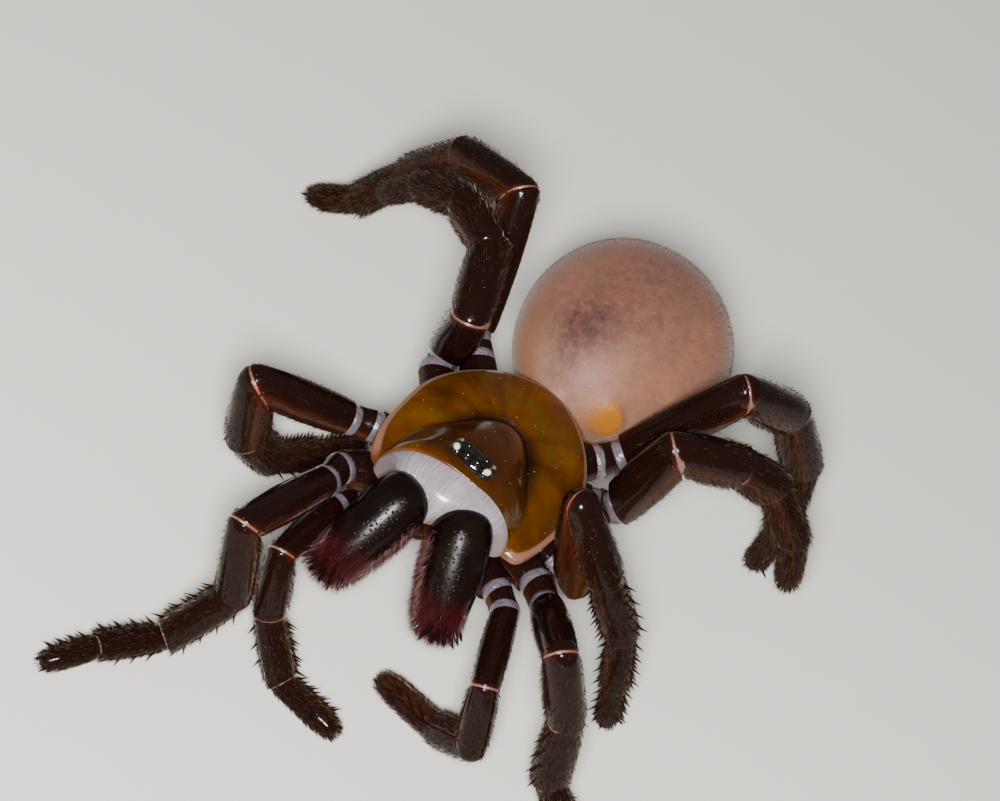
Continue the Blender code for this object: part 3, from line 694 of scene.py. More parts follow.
def node(tree, kind, inputs=None, settings=None, stops=None):
    """Adds a node with its settings, its inputs and, on a ramp, its colour stops.

    A socket among the inputs is wired, and any other value is set on the input itself.
    """
    made = tree.nodes.new(kind)
    for name, value in (settings or {}).items():
        setattr(made, name, value)
    for name, value in (inputs or {}).items():
        if isinstance(value, bpy.types.NodeSocket):
            tree.links.new(value, made.inputs[name])
        else:
            made.inputs[name].default_value = value
    for k, (place, value) in enumerate(stops or []):
        elements = made.color_ramp.elements
        element = elements[k] if k < len(elements) else elements.new(place)
        element.position = place
        element.color = (value, value, value, 1.0) if isinstance(value, float) else (*value, 1.0)
    return made


def per_mm(size):
    """The texture scale that gives a pattern this size in millimetres on metre coordinates."""
    return 1 / (size * MM)


def new_material(name):
    """An empty node material and its tree."""
    made = bpy.data.materials.new(name)
    made.use_nodes = True
    made.node_tree.nodes.clear()
    return made, made.node_tree


def blended(tree, share, first, second):
    """The output of a colour mix, where first and second are colours or sockets."""
    pair = [c if isinstance(c, bpy.types.NodeSocket) else (*c, 1.0) for c in (first, second)]
    mix = node(tree, "ShaderNodeMix", {0: share, 6: pair[0], 7: pair[1]}, {"data_type": "RGBA"})
    return mix.outputs[2]


def field_of(tree, name, output="Fac"):
    """One of the piece's own point fields."""
    return node(tree, "ShaderNodeAttribute", None, {"attribute_name": name}).outputs[output]


def noise_of(tree, vector, scale, detail=4.0, roughness=0.55):
    """Soft cloudy noise from 0 to 1."""
    return node(tree, "ShaderNodeTexNoise", {
        "Vector": vector, "Scale": scale, "Detail": detail, "Roughness": roughness}).outputs["Fac"]


def ramped(tree, share, *stops):
    """The share put through stops of place and value."""
    return node(tree, "ShaderNodeValToRGB", {"Fac": share}, stops=stops).outputs["Color"]


def finished(tree, inputs, height=None, relief=0.0):
    """Ends a material in its shader, with bumps this many millimetres high."""
    if height is not None:
        bump = node(
            tree, "ShaderNodeBump", {"Height": height, "Strength": 1.0, "Distance": relief * MM})
        inputs = {**inputs, "Normal": bump.outputs["Normal"]}
    shader = node(tree, "ShaderNodeBsdfPrincipled", inputs)
    node(tree, "ShaderNodeOutputMaterial", {"Surface": shader.outputs["BSDF"]})


def object_place(tree):
    """The place on the object, in metres."""
    return node(tree, "ShaderNodeTexCoord").outputs["Object"]


def times(tree, first, second):
    """The product of two sockets, or of a socket and a number."""
    return node(tree, "ShaderNodeMath", {0: first, 1: second}, {"operation": "MULTIPLY"}).outputs[0]


def plus_some(tree, base, share, extra):
    """The base with this share of the extra added."""
    return node(
        tree, "ShaderNodeMath", {0: extra, 1: share, 2: base}, {"operation": "MULTIPLY_ADD"}
    ).outputs[0]


def scaled(tree, vector, factor):
    """The vector times a factor, which is a socket or a number."""
    return node(
        tree, "ShaderNodeVectorMath", {"Vector": vector, "Scale": factor}, {"operation": "SCALE"}
    ).outputs["Vector"]


def added(tree, first, second):
    """The sum of two vectors."""
    return node(
        tree, "ShaderNodeVectorMath", {0: first, 1: second}, {"operation": "ADD"}
    ).outputs["Vector"]


def grains(tree, vector, size, reach, kept=1.0):
    """Small raised dots, this many millimetres apart, as a height from 0 to 1.

    reach is a dot's size as a share of the spacing, and kept the share of the dots that are there.
    """
    cells = node(tree, "ShaderNodeTexVoronoi", {"Vector": vector, "Scale": per_mm(size)})
    dots = node(
        tree, "ShaderNodeMapRange",
        {"Value": cells.outputs["Distance"], "From Max": reach, "To Min": 1.0, "To Max": 0.0},
        {"interpolation_type": "SMOOTHSTEP"}).outputs["Result"]
    if kept == 1.0:
        return dots
    chosen = ramped(tree, cells.outputs["Color"], (1 - kept, 0.0), (1.02 - kept, 1.0))
    return times(tree, dots, chosen)


def carapace_cuticle(shell):
    """Thick sclerotised cuticle, moulded clear over brown. It gives a wet gloss over amber depths."""
    made, tree = new_material("carapace cuticle")
    place = object_place(tree)
    clouds = noise_of(tree, place, per_mm(3.2), 5.0)
    green = noise_of(tree, place, per_mm(2.1), 3.0)
    streaks = noise_of(tree, field_of(tree, "spoke", "Vector"), 1.0, 5.0, 0.6)
    fine = noise_of(tree, place, per_mm(0.35), 3.0)
    base = blended(tree, ramped(tree, clouds, (0.36, 0.0), (0.64, 1.0)), shell.umber, shell.amber)
    base = blended(tree, ramped(tree, green, (0.5, 0.0), (0.66, 0.7)), base, shell.olive)
    base = blended(tree, ramped(tree, streaks, (0.36, 0.6), (0.54, 0.0)), base, shell.umber)
    base = blended(tree, field_of(tree, "head"), base, shell.head_brown)
    # Painted shade in the groove, with the furrows' own darker streaks and the own dark round the eye
    # mound
    base = blended(tree, field_of(tree, "groove"), base, shell.groove_shade_and_eye_brown)
    base = blended(tree, field_of(tree, "edge"), base, shell.edge_orange)
    base = blended(tree, field_of(tree, "rim"), base, shell.rim_pale)
    # Painted highlights: scattered pale dots in place of glints off tiny wet bumps
    base = blended(tree, grains(tree, place, 0.36, 0.13, 0.4), base, linear(CARAPACE_PAINTED_GLINT))
    height = plus_some(tree, grains(tree, place, 0.4, 0.2, 0.2), 0.07, fine)
    finished(
        tree,
        {"Base Color": base, "Roughness": ramped(tree, fine, (0.3, 0.11), (0.7, 0.22)),
         "IOR": 1.5, "Specular IOR Level": 0.16, "Subsurface Weight": 0.12,
         "Subsurface Scale": 0.5 * MM, "Subsurface Radius": (1.0, 0.45, 0.2)},
        height, 0.06)
    return made


def leg_cuticle(shell):
    """Thin hard cuticle, dark and glossy on top, where light shines through it orange below."""
    made, tree = new_material("leg cuticle")
    place = object_place(tree)
    dorsal = field_of(tree, "dorsal")
    clouds = noise_of(tree, place, per_mm(1.6), 4.0)
    shifted = plus_some(tree, dorsal, 0.3, clouds)
    stripe = ramped(
        tree, shifted, (0.2, 0.1), (0.44, 0.25), (0.64, 0.95), (0.82, 0.15), (1.0, 0.0))
    under = ramped(tree, shifted, (0.16, 0.8), (0.3, 0.5), (0.46, 0.0))
    base = blended(tree, stripe, shell.leg_dark, shell.leg_brown)
    base = blended(tree, under, base, shell.leg_orange)
    base = blended(tree, field_of(tree, "rim"), base, shell.rim_red)
    # Painted highlights: scattered paler dots in place of glints
    base = blended(tree, grains(tree, place, 0.3, 0.12, 0.4), base, linear(LEG_PAINTED_GLINT))
    finished(
        tree,
        {"Base Color": base, "Roughness": ramped(tree, clouds, (0.3, 0.11), (0.75, 0.2)),
         "IOR": 1.5, "Specular IOR Level": ramped(tree, dorsal, (0.25, 0.03), (0.6, 0.11))},
        grains(tree, place, 0.2, 0.3, 0.5), 0.028)
    return made


def jaw_cuticle(shell):
    """The hardest, blackest cuticle, polished by digging, with pits that break its highlight."""
    made, tree = new_material("chelicera cuticle")
    place = object_place(tree)
    clouds = noise_of(tree, place, per_mm(1.8), 4.0)
    base = blended(tree, field_of(tree, "red"), shell.jaw_black, shell.jaw_red)
    olive = ramped(tree, clouds, (0.5, 0.0), (0.8, 0.35))
    base = blended(tree, olive, base, linear(JAW_OLIVE))
    band = field_of(tree, "dotted")
    dotted = times(tree, grains(tree, place, 0.17, 0.42, 0.8), band)
    rough = plus_some(tree, ramped(tree, clouds, (0.3, 0.12), (0.75, 0.2)), 0.16, band)
    finished(
        tree, {"Base Color": base, "Roughness": rough, "IOR": 1.5, "Specular IOR Level": 0.12},
        dotted, 0.03)
    return made


def soft_membrane(skin):
    """Thin wet joint skin. Light enters it and comes back milky, with hard bright highlights."""
    made, tree = new_material("soft membrane")
    place = object_place(tree)
    clouds = noise_of(tree, place, per_mm(1.2), 4.0)
    milky = blended(tree, clouds, skin.membrane, linear(MEMBRANE_SHADE))
    # Lilac grey: the hip skins' own colour, and on the pad's sides partly its own tint, partly painted
    # shade
    milky = blended(tree, field_of(tree, "lilac_and_shade"), milky, skin.hip_lilac_and_pad_shade)
    base = blended(tree, field_of(tree, "outer"), milky, skin.joint_cream)
    creases = noise_of(tree, field_of(tree, "crease", "Vector"), 1.0, 3.0, 0.5)
    finished(
        tree,
        {"Base Color": base, "Roughness": ramped(tree, clouds, (0.3, 0.26), (0.75, 0.36)),
         "IOR": 1.45, "Specular IOR Level": 0.45, "Coat Weight": 0.6, "Coat Roughness": 0.2,
         "Subsurface Weight": 0.3, "Subsurface Scale": 0.5 * MM,
         "Subsurface Radius": (1.0, 0.7, 0.6)},
        creases, 0.26)
    return made


def abdomen_skin(skin):
    """Soft stretched skin under a dusting of fine hair, which makes it velvety and matt."""
    made, tree = new_material("abdomen skin")
    place = object_place(tree)
    clouds = noise_of(tree, place, per_mm(2.6), 4.0)
    mottle = noise_of(tree, place, per_mm(0.55), 4.0, 0.65)
    # Painted sheen: the pale field lightens the front of the top as light on the velvet would
    base = blended(tree, field_of(tree, "pale"), skin.abdomen, skin.abdomen_pale_and_sheen)
    base = blended(tree, ramped(tree, clouds, (0.4, 0.0), (0.7, 0.45)), base, linear(ABDOMEN_RUST))
    dark = times(tree, field_of(tree, "dark"), ramped(tree, mottle, (0.3, 1.0), (0.66, 0.45)))
    base = blended(tree, dark, base, skin.abdomen_dark)
    spots = ramped(tree, mottle, (0.35, 0.25), (0.6, 0.0))
    base = blended(tree, spots, base, linear(ABDOMEN_SPOT))
    base = blended(tree, field_of(tree, "bulge"), base, skin.bulge)
    creases = noise_of(tree, place, per_mm(0.22), 3.0, 0.6)
    finished(
        tree,
        {"Base Color": base, "Roughness": ramped(tree, mottle, (0.3, 0.42), (0.7, 0.58)),
         "IOR": 1.4, "Specular IOR Level": 0.2, "Sheen Weight": 0.1, "Sheen Roughness": 0.4,
         "Subsurface Weight": 0.15, "Subsurface Scale": 0.6 * MM,
         "Subsurface Radius": (1.0, 0.5, 0.35)},
        creases, 0.03)
    return made


def eye_lens():
    """A clear lens over black pigment: polished, with a cold glint. Night eyes have a pale tapetum; its
    shine back at the light is painted as a pearly patch in a brown glow.
    """
    made, tree = new_material("eye lens")
    depth = noise_of(tree, object_place(tree), per_mm(0.3), 2.0)
    base = blended(
        tree, ramped(tree, depth, (0.4, 0.0), (0.7, 0.6)), linear(LENS_BLACK), linear(LENS_BROWN))
    pearly_eyeshine = field_of(tree, "pearly_eyeshine")
    # Painted eyeshine: first the brown glow ring, then the pearly patch
    base = blended(tree, ramped(tree, pearly_eyeshine, (0.0, 0.0), (0.4, 1.0)), base, linear(EYESHINE_RIM))
    base = blended(tree, ramped(tree, pearly_eyeshine, (0.3, 0.0), (0.9, 1.0)), base, linear(PEARLY_EYESHINE))
    rough = ramped(tree, depth, (0.3, 0.05), (0.8, 0.12))
    finished(
        tree, {"Base Color": base, "Roughness": rough, "IOR": 1.6, "Specular IOR Level": 0.45})
    return made


def bristle_horn(name, root, tip, roughness):
    """Horny bristle, drawn out to a point: dark at the root, clearer and glinting at the tip."""
    made, tree = new_material(name)
    tint = field_of(tree, "tint")
    reach = times(tree, ramped(tree, tint, (0.7, 0.05), (1.0, 1.0)), field_of(tree, "along"))
    base = blended(tree, reach, root, tip)
    rough = ramped(tree, tint, (0.0, roughness), (1.0, roughness + 0.15))
    finished(
        tree,
        {"Base Color": base, "Roughness": rough, "IOR": 1.56, "Specular IOR Level": 0.09,
         "Specular Tint": (1.0, 0.75, 0.65, 1.0)})
    return made


# Body


def carapace_edge(turn):
    """The margin's place for a turn from straight ahead towards the left, seen from above."""
    in_front = math.cos(turn) > 0
    reach = CARAPACE_CORNER_REACH if in_front else CARAPACE_REAR
    power = CARAPACE_CORNER_POWER if in_front else CARAPACE_REAR_POWER
    across = abs(math.sin(turn)) ** power
    along = abs(math.cos(turn)) ** power
    fullness = 1 / (across + along) ** (1 / power)
    x = CARAPACE_HALF_WIDTH * math.sin(turn) * fullness
    y = -reach * math.cos(turn) * fullness
    front = front_edge(x)
    return x, front + CORNER_ROUND * math.log1p(math.exp((y - front) / CORNER_ROUND))


def carapace_outline(sides):
    """The margin's places all round."""
    return [carapace_edge(2 * math.pi * (i + 0.5) / sides) for i in range(sides)]


def front_edge(x):
    """Where the straight front edge runs. It lies a little aslant to the carapace's middle line."""
    return CARAPACE_FRONT_SLANT * x - CARAPACE_FRONT


def carapace_point(x, y, z):
    """A place on the carapace, which is turned a little from the line of the legs."""
    return body_point(Matrix.Rotation(CARAPACE_YAW, 3, "Z") @ Vector((x, y, z)))


def ahead_of_groove(x, y):
    """How far a place lies in front of the U-shaped groove."""
    return (HEAD_REAR - HEAD_SPREAD * x * x - y) / math.sqrt(1 + (2 * HEAD_SPREAD * x) ** 2)


def groove_strength(x, y, share, width):
    """The groove's share of its full depth. It fades out along both arms of the U."""
    arms = 1 - 0.8 * between(1.9, 3.9, abs(x))
    return hump(ahead_of_groove(x, y), width) * (1 - share ** 4) * arms


def spoke_turn(x, y):
    """The turn from straight ahead at which a place lies round the middle of the furrows."""
    return math.atan2(x, FURROW_MIDDLE_Y - y)


def furrow_strength(x, y, share):
    """The shallow furrows that spread from the middle of the groove over the sides."""
    turn = spoke_turn(x, y)
    total = sum(
        strength * hump(away(turn, math.radians(degrees)), FURROW_WIDTH)
        for degrees, strength in FURROWS)
    return total * between(0.3, 0.5, share) * (1 - between(0.75, 0.93, share))


def carapace_height(x, y, share, shell):
    """The top's height over the margin, where share runs from the middle to the margin."""
    dome = CARAPACE_RIM + CARAPACE_DOME * max(0.0, 1 - share ** 2) ** 0.8
    head = 0.0
    if y < HEAD_REAR:
        ahead = (HEAD_REAR - y) / (HEAD_REAR + CARAPACE_FRONT)
        near_edge = between(0.66, 1.0, ahead)
        flank = 1 + HEAD_FLANK * between(0.25, 0.6, ahead) * (1 - near_edge)
        half = math.sqrt((HEAD_REAR - y) / HEAD_SPREAD) * flank
        half *= 1 - HEAD_NARROWING * between(-1.5, -5.0, y)
        round_off = max(0.0, 1 - (abs(x) / half) ** HEAD_FULLNESS)
        head = HEAD_HEIGHT * ahead ** 0.8 * round_off ** (1.5 - near_edge)
    groove = shell.groove_depth * groove_strength(x, y, share, shell.groove_width)
    furrow = shell.furrow_depth * furrow_strength(x, y, share)
    return dome + head - groove - furrow


def rim_width(x, y):
    """The clear rim's share of the way to the middle: widest at the two front corners."""
    corner = hump(abs(x) - 5.0, 0.8) * hump(y + 4.8, 1.1)
    front = between(-4.2, -5.0, y) * between(4.7, 4.1, abs(x))
    return (0.05 + 0.012 * corner) * (1 - 0.8 * front)


def carapace_marks(x, y, px, py, share, width):
    """The colour fields of a place (px, py), this share of the way out to the margin at (x, y)."""
    eye_x, eye_y, _ = EYE_MOUND_PLACE
    eyes = hump(math.hypot((px - eye_x) / 1.75, (py - eye_y) / 1.1), 1.0)
    facing_pad = between(-4.4, -5.0, y) * between(4.9, 4.3, abs(x))
    head = 0.8 * between(-0.2, 1.1, ahead_of_groove(px, py))
    groove = groove_strength(px, py, share, GROOVE_SHADE_WIDTH)
    turn = spoke_turn(px, py)
    return {
        "rim": (1 - 0.85 * facing_pad) * (1 - between(0.8, 1.05, (1 - share) / width)),
        "edge": 0.4 * (1 - between(width, width + 0.02, 1 - share)),
        "head": head * (1 - 0.85 * between(0.55, 0.92, share)),
        # groove: painted shade in the groove's recess, plus the furrows' darker streaks and the dark
        # round the eye mound, which are their own colour
        "groove": min(1.0, groove + 0.25 * furrow_strength(px, py, share) + 0.85 * eyes),
        "spoke": (math.sin(turn) * 3, math.cos(turn) * 3, share * 0.5),
    }


def make_carapace(shell):
    """The back shield: a flat underside, a low side, and a top with finer steps near the margin."""
    outline = carapace_outline(CARAPACE_SIDES)
    shares = [1 - (k / CARAPACE_STEPS) ** 1.25 for k in range(1, CARAPACE_STEPS)]
    rows = [("under", s) for s in (0.3, 0.6, 0.9)] + [("side", 1.0), ("edge", 1.0), ("top", 0.994)]
    rows += [("top", s) for s in shares if s < 0.99] + [("middle", 0.0)]
    rings = [[body_point((0, 0, CARAPACE_UNDERSIDE))]]
    marks = [{"rim": 0.0, "edge": 0.0, "head": 0.0, "groove": 0.0, "spoke": (0.0, 0.0, 0.0)}]
    for part, share in rows:
        points = []
        for x, y in outline[:1] if part == "middle" else outline:
            px = x * share
            py = CARAPACE_MIDDLE_Y + (y - CARAPACE_MIDDLE_Y) * share
            width = rim_width(x, y)
            plate = between(0.75, 1.1, (1 - share) / width)
            top = carapace_height(px, py, share, shell) - RIM_STEP * (1 - plate)
            z = {"under": CARAPACE_UNDERSIDE, "side": CARAPACE_UNDERSIDE + 0.12,
                 "edge": top - 0.08}.get(part, top)
            points.append(carapace_point(px, py, z))
            marks.append(carapace_marks(x, y, px, py, share, width))
        rings.append(points)
    piece = Piece()
    piece.add(loft(rings), 0, gathered(marks))
    obj = piece.build("carapace_shield", [carapace_cuticle(shell)])
    return seat(obj, "carapace cuticle", "carapace")


def make_eyes():
    """The black mound and its eight domed lenses, each sunk in a low collar."""
    half = Vector(EYE_MOUND_HALF)
    centre = Vector(EYE_MOUND_PLACE)
    mound = Piece()
    lenses = Piece()
    dome = ball(1.0, 48, 32)
    for v in dome.verts:
        v.co = carapace_point(*(centre + v.co * half))
    mound.add(dome)
    for x, y, radius, pearly_eyeshine in EYE_ROWS:
        for side in (-1, 1):
            lift = half.z * math.sqrt(max(0.05, 1 - (x / half.x) ** 2 - (y / half.y) ** 2))
            place = centre + Vector((side * x, y, lift - EYE_SUNK * radius))
            aslant = Vector((0.6 * side, 0.8, 0.0))
            outward = Vector((side * 0.35 * x, 0.5 * y - 0.15, 1.0)).normalized()
            domed = ball(radius, *EYE_GRID)
            depths = [v.co.normalized().dot(outward) for v in domed.verts]
            for v in domed.verts:
                long = aslant * (EYE_OVAL * pearly_eyeshine * v.co.dot(aslant))
                v.co = carapace_point(*(place + v.co + long))
            # The pearly patch is painted eyeshine, brightest where the lens faces outwards
            lenses.add(domed, 0, {"pearly_eyeshine": [pearly_eyeshine * between(0.76, 0.96, d) for d in depths]})
            collar = ball(radius, *EYE_GRID)
            for v in collar.verts:
                at_pole = abs(v.co.z) >= radius * 0.999
                flat = Vector((0, 0, 0)) if at_pole else square_to(v.co, UP)
                v.co = carapace_point(*(place + flat * radius + v.co * Vector(EYE_COLLAR)))
            mound.add(collar)
    lens = eye_lens()
    seat(mound.build("eye_mound", [lens]), "eye lens", "eyes")
    return seat(lenses.build("eye_lenses", [lens]), "eye lens")


def make_jaw_membrane(soft):
    """The pale pad that swells from under the front edge down to the chelicerae."""
    rings = []
    marks = []
    for k in range(MEMBRANE_STEPS + 1):
        share = k / MEMBRANE_STEPS
        shrink = curve_through(MEMBRANE_SHAPE, share)
        points = []
        for i in range(MEMBRANE_SIDES):
            turn = math.pi * i / (MEMBRANE_SIDES - 1)
            c = math.copysign(abs(math.cos(turn)) ** MEMBRANE_FULLNESS, math.cos(turn))
            x = MEMBRANE_HALF_WIDTH * shrink * c
            drawn_in = 1 - 0.6 * between(0.7, 1.0, abs(c))
            reach = MEMBRANE_DEPTH * drawn_in + MEMBRANE_NOSE * hump(c, 0.5)
            y = front_edge(x) + MEMBRANE_START - (reach + MEMBRANE_START) * share
            z = MEMBRANE_TOP * shrink * math.sin(turn) + 0.06 - 0.3 * share * abs(c) ** 3
            points.append(carapace_point(x, y, z))
            folds = hump(c - 0.1, 0.42)
            low = between(2.1, 1.0, z) * hump(c, 0.35)
            marks.append({
                "crease": (i * 0.5 * folds, share * 2.4 * folds, 0.0),
                "outer": max(0.95 * low, 0.35 * between(0.75, 1.0, abs(c))),
                # The pad's sides turn lilac grey: partly their own tint, partly painted shade, heavier
                # on the animal's right
                "lilac_and_shade": 0.75 * between(-0.35, -0.9, c) + 0.3 * between(0.6, 0.95, c)})
        rings.append(points)
    piece = Piece()
    piece.add(loft(rings), 0, gathered(marks))
    obj = piece.build("jaw_membrane", [soft])
    return seat(obj, "soft membrane", "cheliceral_membrane")


def make_side_skin(soft):
    """Soft side skin, folded lengthwise, from under the carapace's margin down to the coxae."""
    outline = carapace_outline(SIDE_SKIN_SIDES)
    rings = []
    marks = []
    for k in range(SIDE_SKIN_STEPS + 1):
        share = k / SIDE_SKIN_STEPS
        shrink = 0.9 - 0.28 * share + 0.014 * math.sin(share * 19)
        z = -0.12 - SIDE_SKIN_DEPTH * share
        rings.append([carapace_point(x * shrink, y * shrink, z) for x, y in outline])
        marks += [
            {"crease": (i * 0.05, share * 4, 0.0), "outer": 0.5} for i in range(SIDE_SKIN_SIDES)]
    piece = Piece()
    piece.add(loft(rings), 0, gathered(marks))
    return seat(piece.build("side_skin", [soft]), "soft membrane")


def chelicera_frame(side_name):
    """The basal segment's inner end, its axis and its upper side."""
    turn, rise = CHELICERA_POSE[side_name]
    axis = heading(side_of(side_name), turn, rise)
    return body_point(CHELICERA_BASE[side_name]), axis, square_to(UP, axis)


def make_chelicera(side_name, cuticle):
    """The basal segment, with the fields of its coat: bristly at the tip and along its lower edges."""
    base, axis, upward = chelicera_frame(side_name)
    across = axis.cross(upward)
    inward = across if across.x * side_of(side_name) < 0 else -across
    half_width, half_height = CHELICERA_HALF
    rings = [[base - axis * 0.05]]
    for k in range(CHELICERA_STEPS):
        along = (k / CHELICERA_STEPS) ** 1.15
        share = max(0.05, curve_through(CHELICERA_SHAPE, along))
        rings.append(ring(
            base + axis * (CHELICERA_LENGTH * along), across, upward,
            half_width * share, half_height * share, CHELICERA_SIDES, CHELICERA_FULLNESS))
    rings.append([base + axis * CHELICERA_LENGTH])
    bm = loft(rings)
    marks = []
    unwrap = []
    for v in bm.verts:
        off = v.co - base
        along = min(1.0, max(0.0, off.dot(axis) / CHELICERA_LENGTH))
        out = outward_of(off, axis, upward)
        up_share = out.dot(upward)
        inner = out.dot(inward)
        tip = between(0.58, 0.84, along + 0.1 * inner)
        low = between(0.15, 0.7, 0.75 * inner - 0.65 * up_share)
        fringe = low * between(0.14, 0.34, along)
        dotted = hump(inner - 0.35, 0.36) * between(0.2, 0.6, up_share) * between(0.1, 0.25, along)
        thick = max(tip, 0.85 * fringe)
        lie = axis + out * 0.04 + inward * 0.3 * fringe - upward * 0.2 * fringe
        marks.append({
            "red": 0.9 * between(0.6, 0.95, along + 0.12 * low),
            "dotted": max(dotted, 0.6 * tip),
            "coat": (1.5 + 110 * thick + 22 * dotted, 0.09 + 0.62 * thick, 0.2 + 0.22 * thick),
            "lie": tuple(lie.normalized())})
        unwrap.append((turn_share(out.dot(across), up_share), along))
    piece = Piece()
    piece.add(bm, 0, gathered(marks), unwrap)
    obj = piece.build("chelicera_shell_" + side_name, [cuticle])
    return seat(obj, "chelicera cuticle", "chelicera_" + side_name)


def fang_centre(base, axis, upward, share):
    """The fang's middle line, from its root under the segment's end back to its point."""
    depth = FANG_DEPTH + FANG_ARCH * math.sin(math.pi * (0.12 + 0.88 * share))
    along = CHELICERA_LENGTH * FANG_ROOT - FANG_REACH * share ** 0.9
    return base + axis * along - upward * depth


def make_fang(side_name, cuticle):
    """The fang, folded back under its basal segment."""
    base, axis, upward = chelicera_frame(side_name)
    across = axis.cross(upward)
    rings = []
    for k in range(FANG_STEPS):
        share = k / FANG_STEPS
        radius = FANG_RADIUS * (1 - share) ** 0.7
        turn = math.radians(-80 + 75 * min(1, 2 * share))
        direction = (axis * -math.cos(turn) + upward * math.sin(turn)).normalized()
        side_way = direction.cross(across).normalized()
        rings.append(ring(
            fang_centre(base, axis, upward, share), across, side_way, radius * 0.9, radius,
            FANG_SIDES))
    rings.append([fang_centre(base, axis, upward, 1.0)])
    piece = Piece()
    piece.add(loft(rings))
    obj = piece.build("fang_horn_" + side_name, [cuticle])
    return seat(obj, "chelicera cuticle", "fang_" + side_name)


def make_rake(cuticle):
    """The digging teeth on the upper front edge of both chelicerae."""
    rows = []
    half_width, half_height = CHELICERA_HALF
    for side_name in CHELICERA_POSE:
        base, axis, upward = chelicera_frame(side_name)
        across = axis.cross(upward) * side_of(side_name)
        for k in range(RAKE_COUNT):
            angle = math.radians(RAKE_START + RAKE_SPACING * k)
            share, along = RAKE_ROWS[k % len(RAKE_ROWS)]
            root = (base + axis * (CHELICERA_LENGTH * along)
                    + across * (half_width * share * math.cos(angle))
                    + upward * (half_height * share * math.sin(angle)))
            outward = (axis * 0.8 + across * (0.5 * math.cos(angle))
                       + upward * (0.5 * math.sin(angle))).normalized()
            rows.append((root, outward, upward, Vector(TOOTH_SIZE)))
    teeth = stamped("rake_teeth", rows, thorn("tooth_stamp", TOOTH_BEND), cuticle)
    return seat(teeth, "chelicera cuticle")


def make_sternum(shell):
    """The plate between the coxae with the lip in front of it."""
    half_x, half_y = STERNUM_HALF
    depth = STERNUM_TOP - STERNUM_BOTTOM
    rings = []
    for k in range(STERNUM_STEPS):
        share = 1 - (1 - k / STERNUM_STEPS) ** 1.6
        shrink = curve_through(STERNUM_SHAPE, share)
        centre = body_point((0, 0, STERNUM_TOP - depth * share))
        rings.append(ring(
            centre, LEFTWARDS, REARWARDS, half_x * shrink, half_y * shrink, STERNUM_SIDES))
    rings.append([body_point((0, 0, STERNUM_BOTTOM))])
    piece = Piece()
    for bm, cell in ((loft(rings), (0, 0, 1, 0.7)), (lip_ball(), (0, 0.72, 1, 0.25))):
        marks = []
        unwrap = []
        for v in bm.verts:
            off = v.co - body_point((0, 0, -2.5))
            marks.append({
                "dorsal": 0.1, "rim": 0.0, "coat": (9 * between(0.0, -0.9, off.z), 0.55, 0.6),
                "lie": (0.0, -0.8, -0.6)})
            unwrap.append((turn_share(off.x, off.y), 0.5 + off.z / 4))
        piece.add(bm, 0, gathered(marks), unwrap, cell)
    obj = piece.build("sternum_plate", [leg_cuticle(shell)])
    return seat(obj, "carapace cuticle", "sternum")


def lip_ball():
    """The lip in front of the sternum."""
    bm = ball(1.0, 32, 20)
    for v in bm.verts:
        v.co = body_point(LIP_PLACE + v.co * Vector(LIP_HALF))
    return bm


def abdomen_matrix():
    """The abdomen's turn and tilt from the line of the body."""
    return Matrix.Rotation(ABDOMEN_YAW, 3, "Z") @ Matrix.Rotation(ABDOMEN_PITCH, 3, "X")


def abdomen_point(along, turn):
    """A point of the egg. along runs from -1 at the front to 1 at the rear."""
    half_x, half_y, half_z = ABDOMEN_HALF
    girth = math.sqrt(max(0.0, 1 - along ** 2)) * (1 + ABDOMEN_REAR_SWELL * along)
    flat = ABDOMEN_UNDERSIDE if math.sin(turn) < 0 else 1.0
    swell = BULGE_HEIGHT * bulge_strength(along, turn)
    local = Vector((
        (half_x * girth + swell) * math.cos(turn),
        half_y * along,
        (half_z * girth * flat + swell) * math.sin(turn),
    ))
    return body_point(ABDOMEN_CENTRE + abdomen_matrix() @ local)


def bulge_strength(along, turn):
    """The orange swelling beside the waist, on the animal's left."""
    ridge = hump(along - BULGE_ALONG, 0.1) * hump(away(turn, BULGE_TURN), 0.46)
    return between(0.1, 0.85, ridge)


def abdomen_marks(along, turn, lie):
    """The markings of one place on the abdomen, and the make of its fine coat."""
    spot = hump(along + 0.64, 0.24) * hump(away(turn, math.radians(112)), 0.36)
    saddle = hump(along + 0.15, 0.6) * hump(away(turn, math.radians(97)), 0.6)
    edge = hump(along + 0.7, 0.45) * hump(away(turn, math.pi), 0.4)
    return {
        "dark": min(1.0, spot + 0.6 * saddle),
        # pale is painted sheen over the front of the top
        "pale": hump(along + 0.95, 0.2) * between(-0.1, 0.6, math.sin(turn)),
        "bulge": max(bulge_strength(along, turn), 0.35 * edge),
        "coat": (40 * between(-0.98, -0.7, along), 0.2 + 0.1 * along, 0.35),
        "lie": lie,
    }


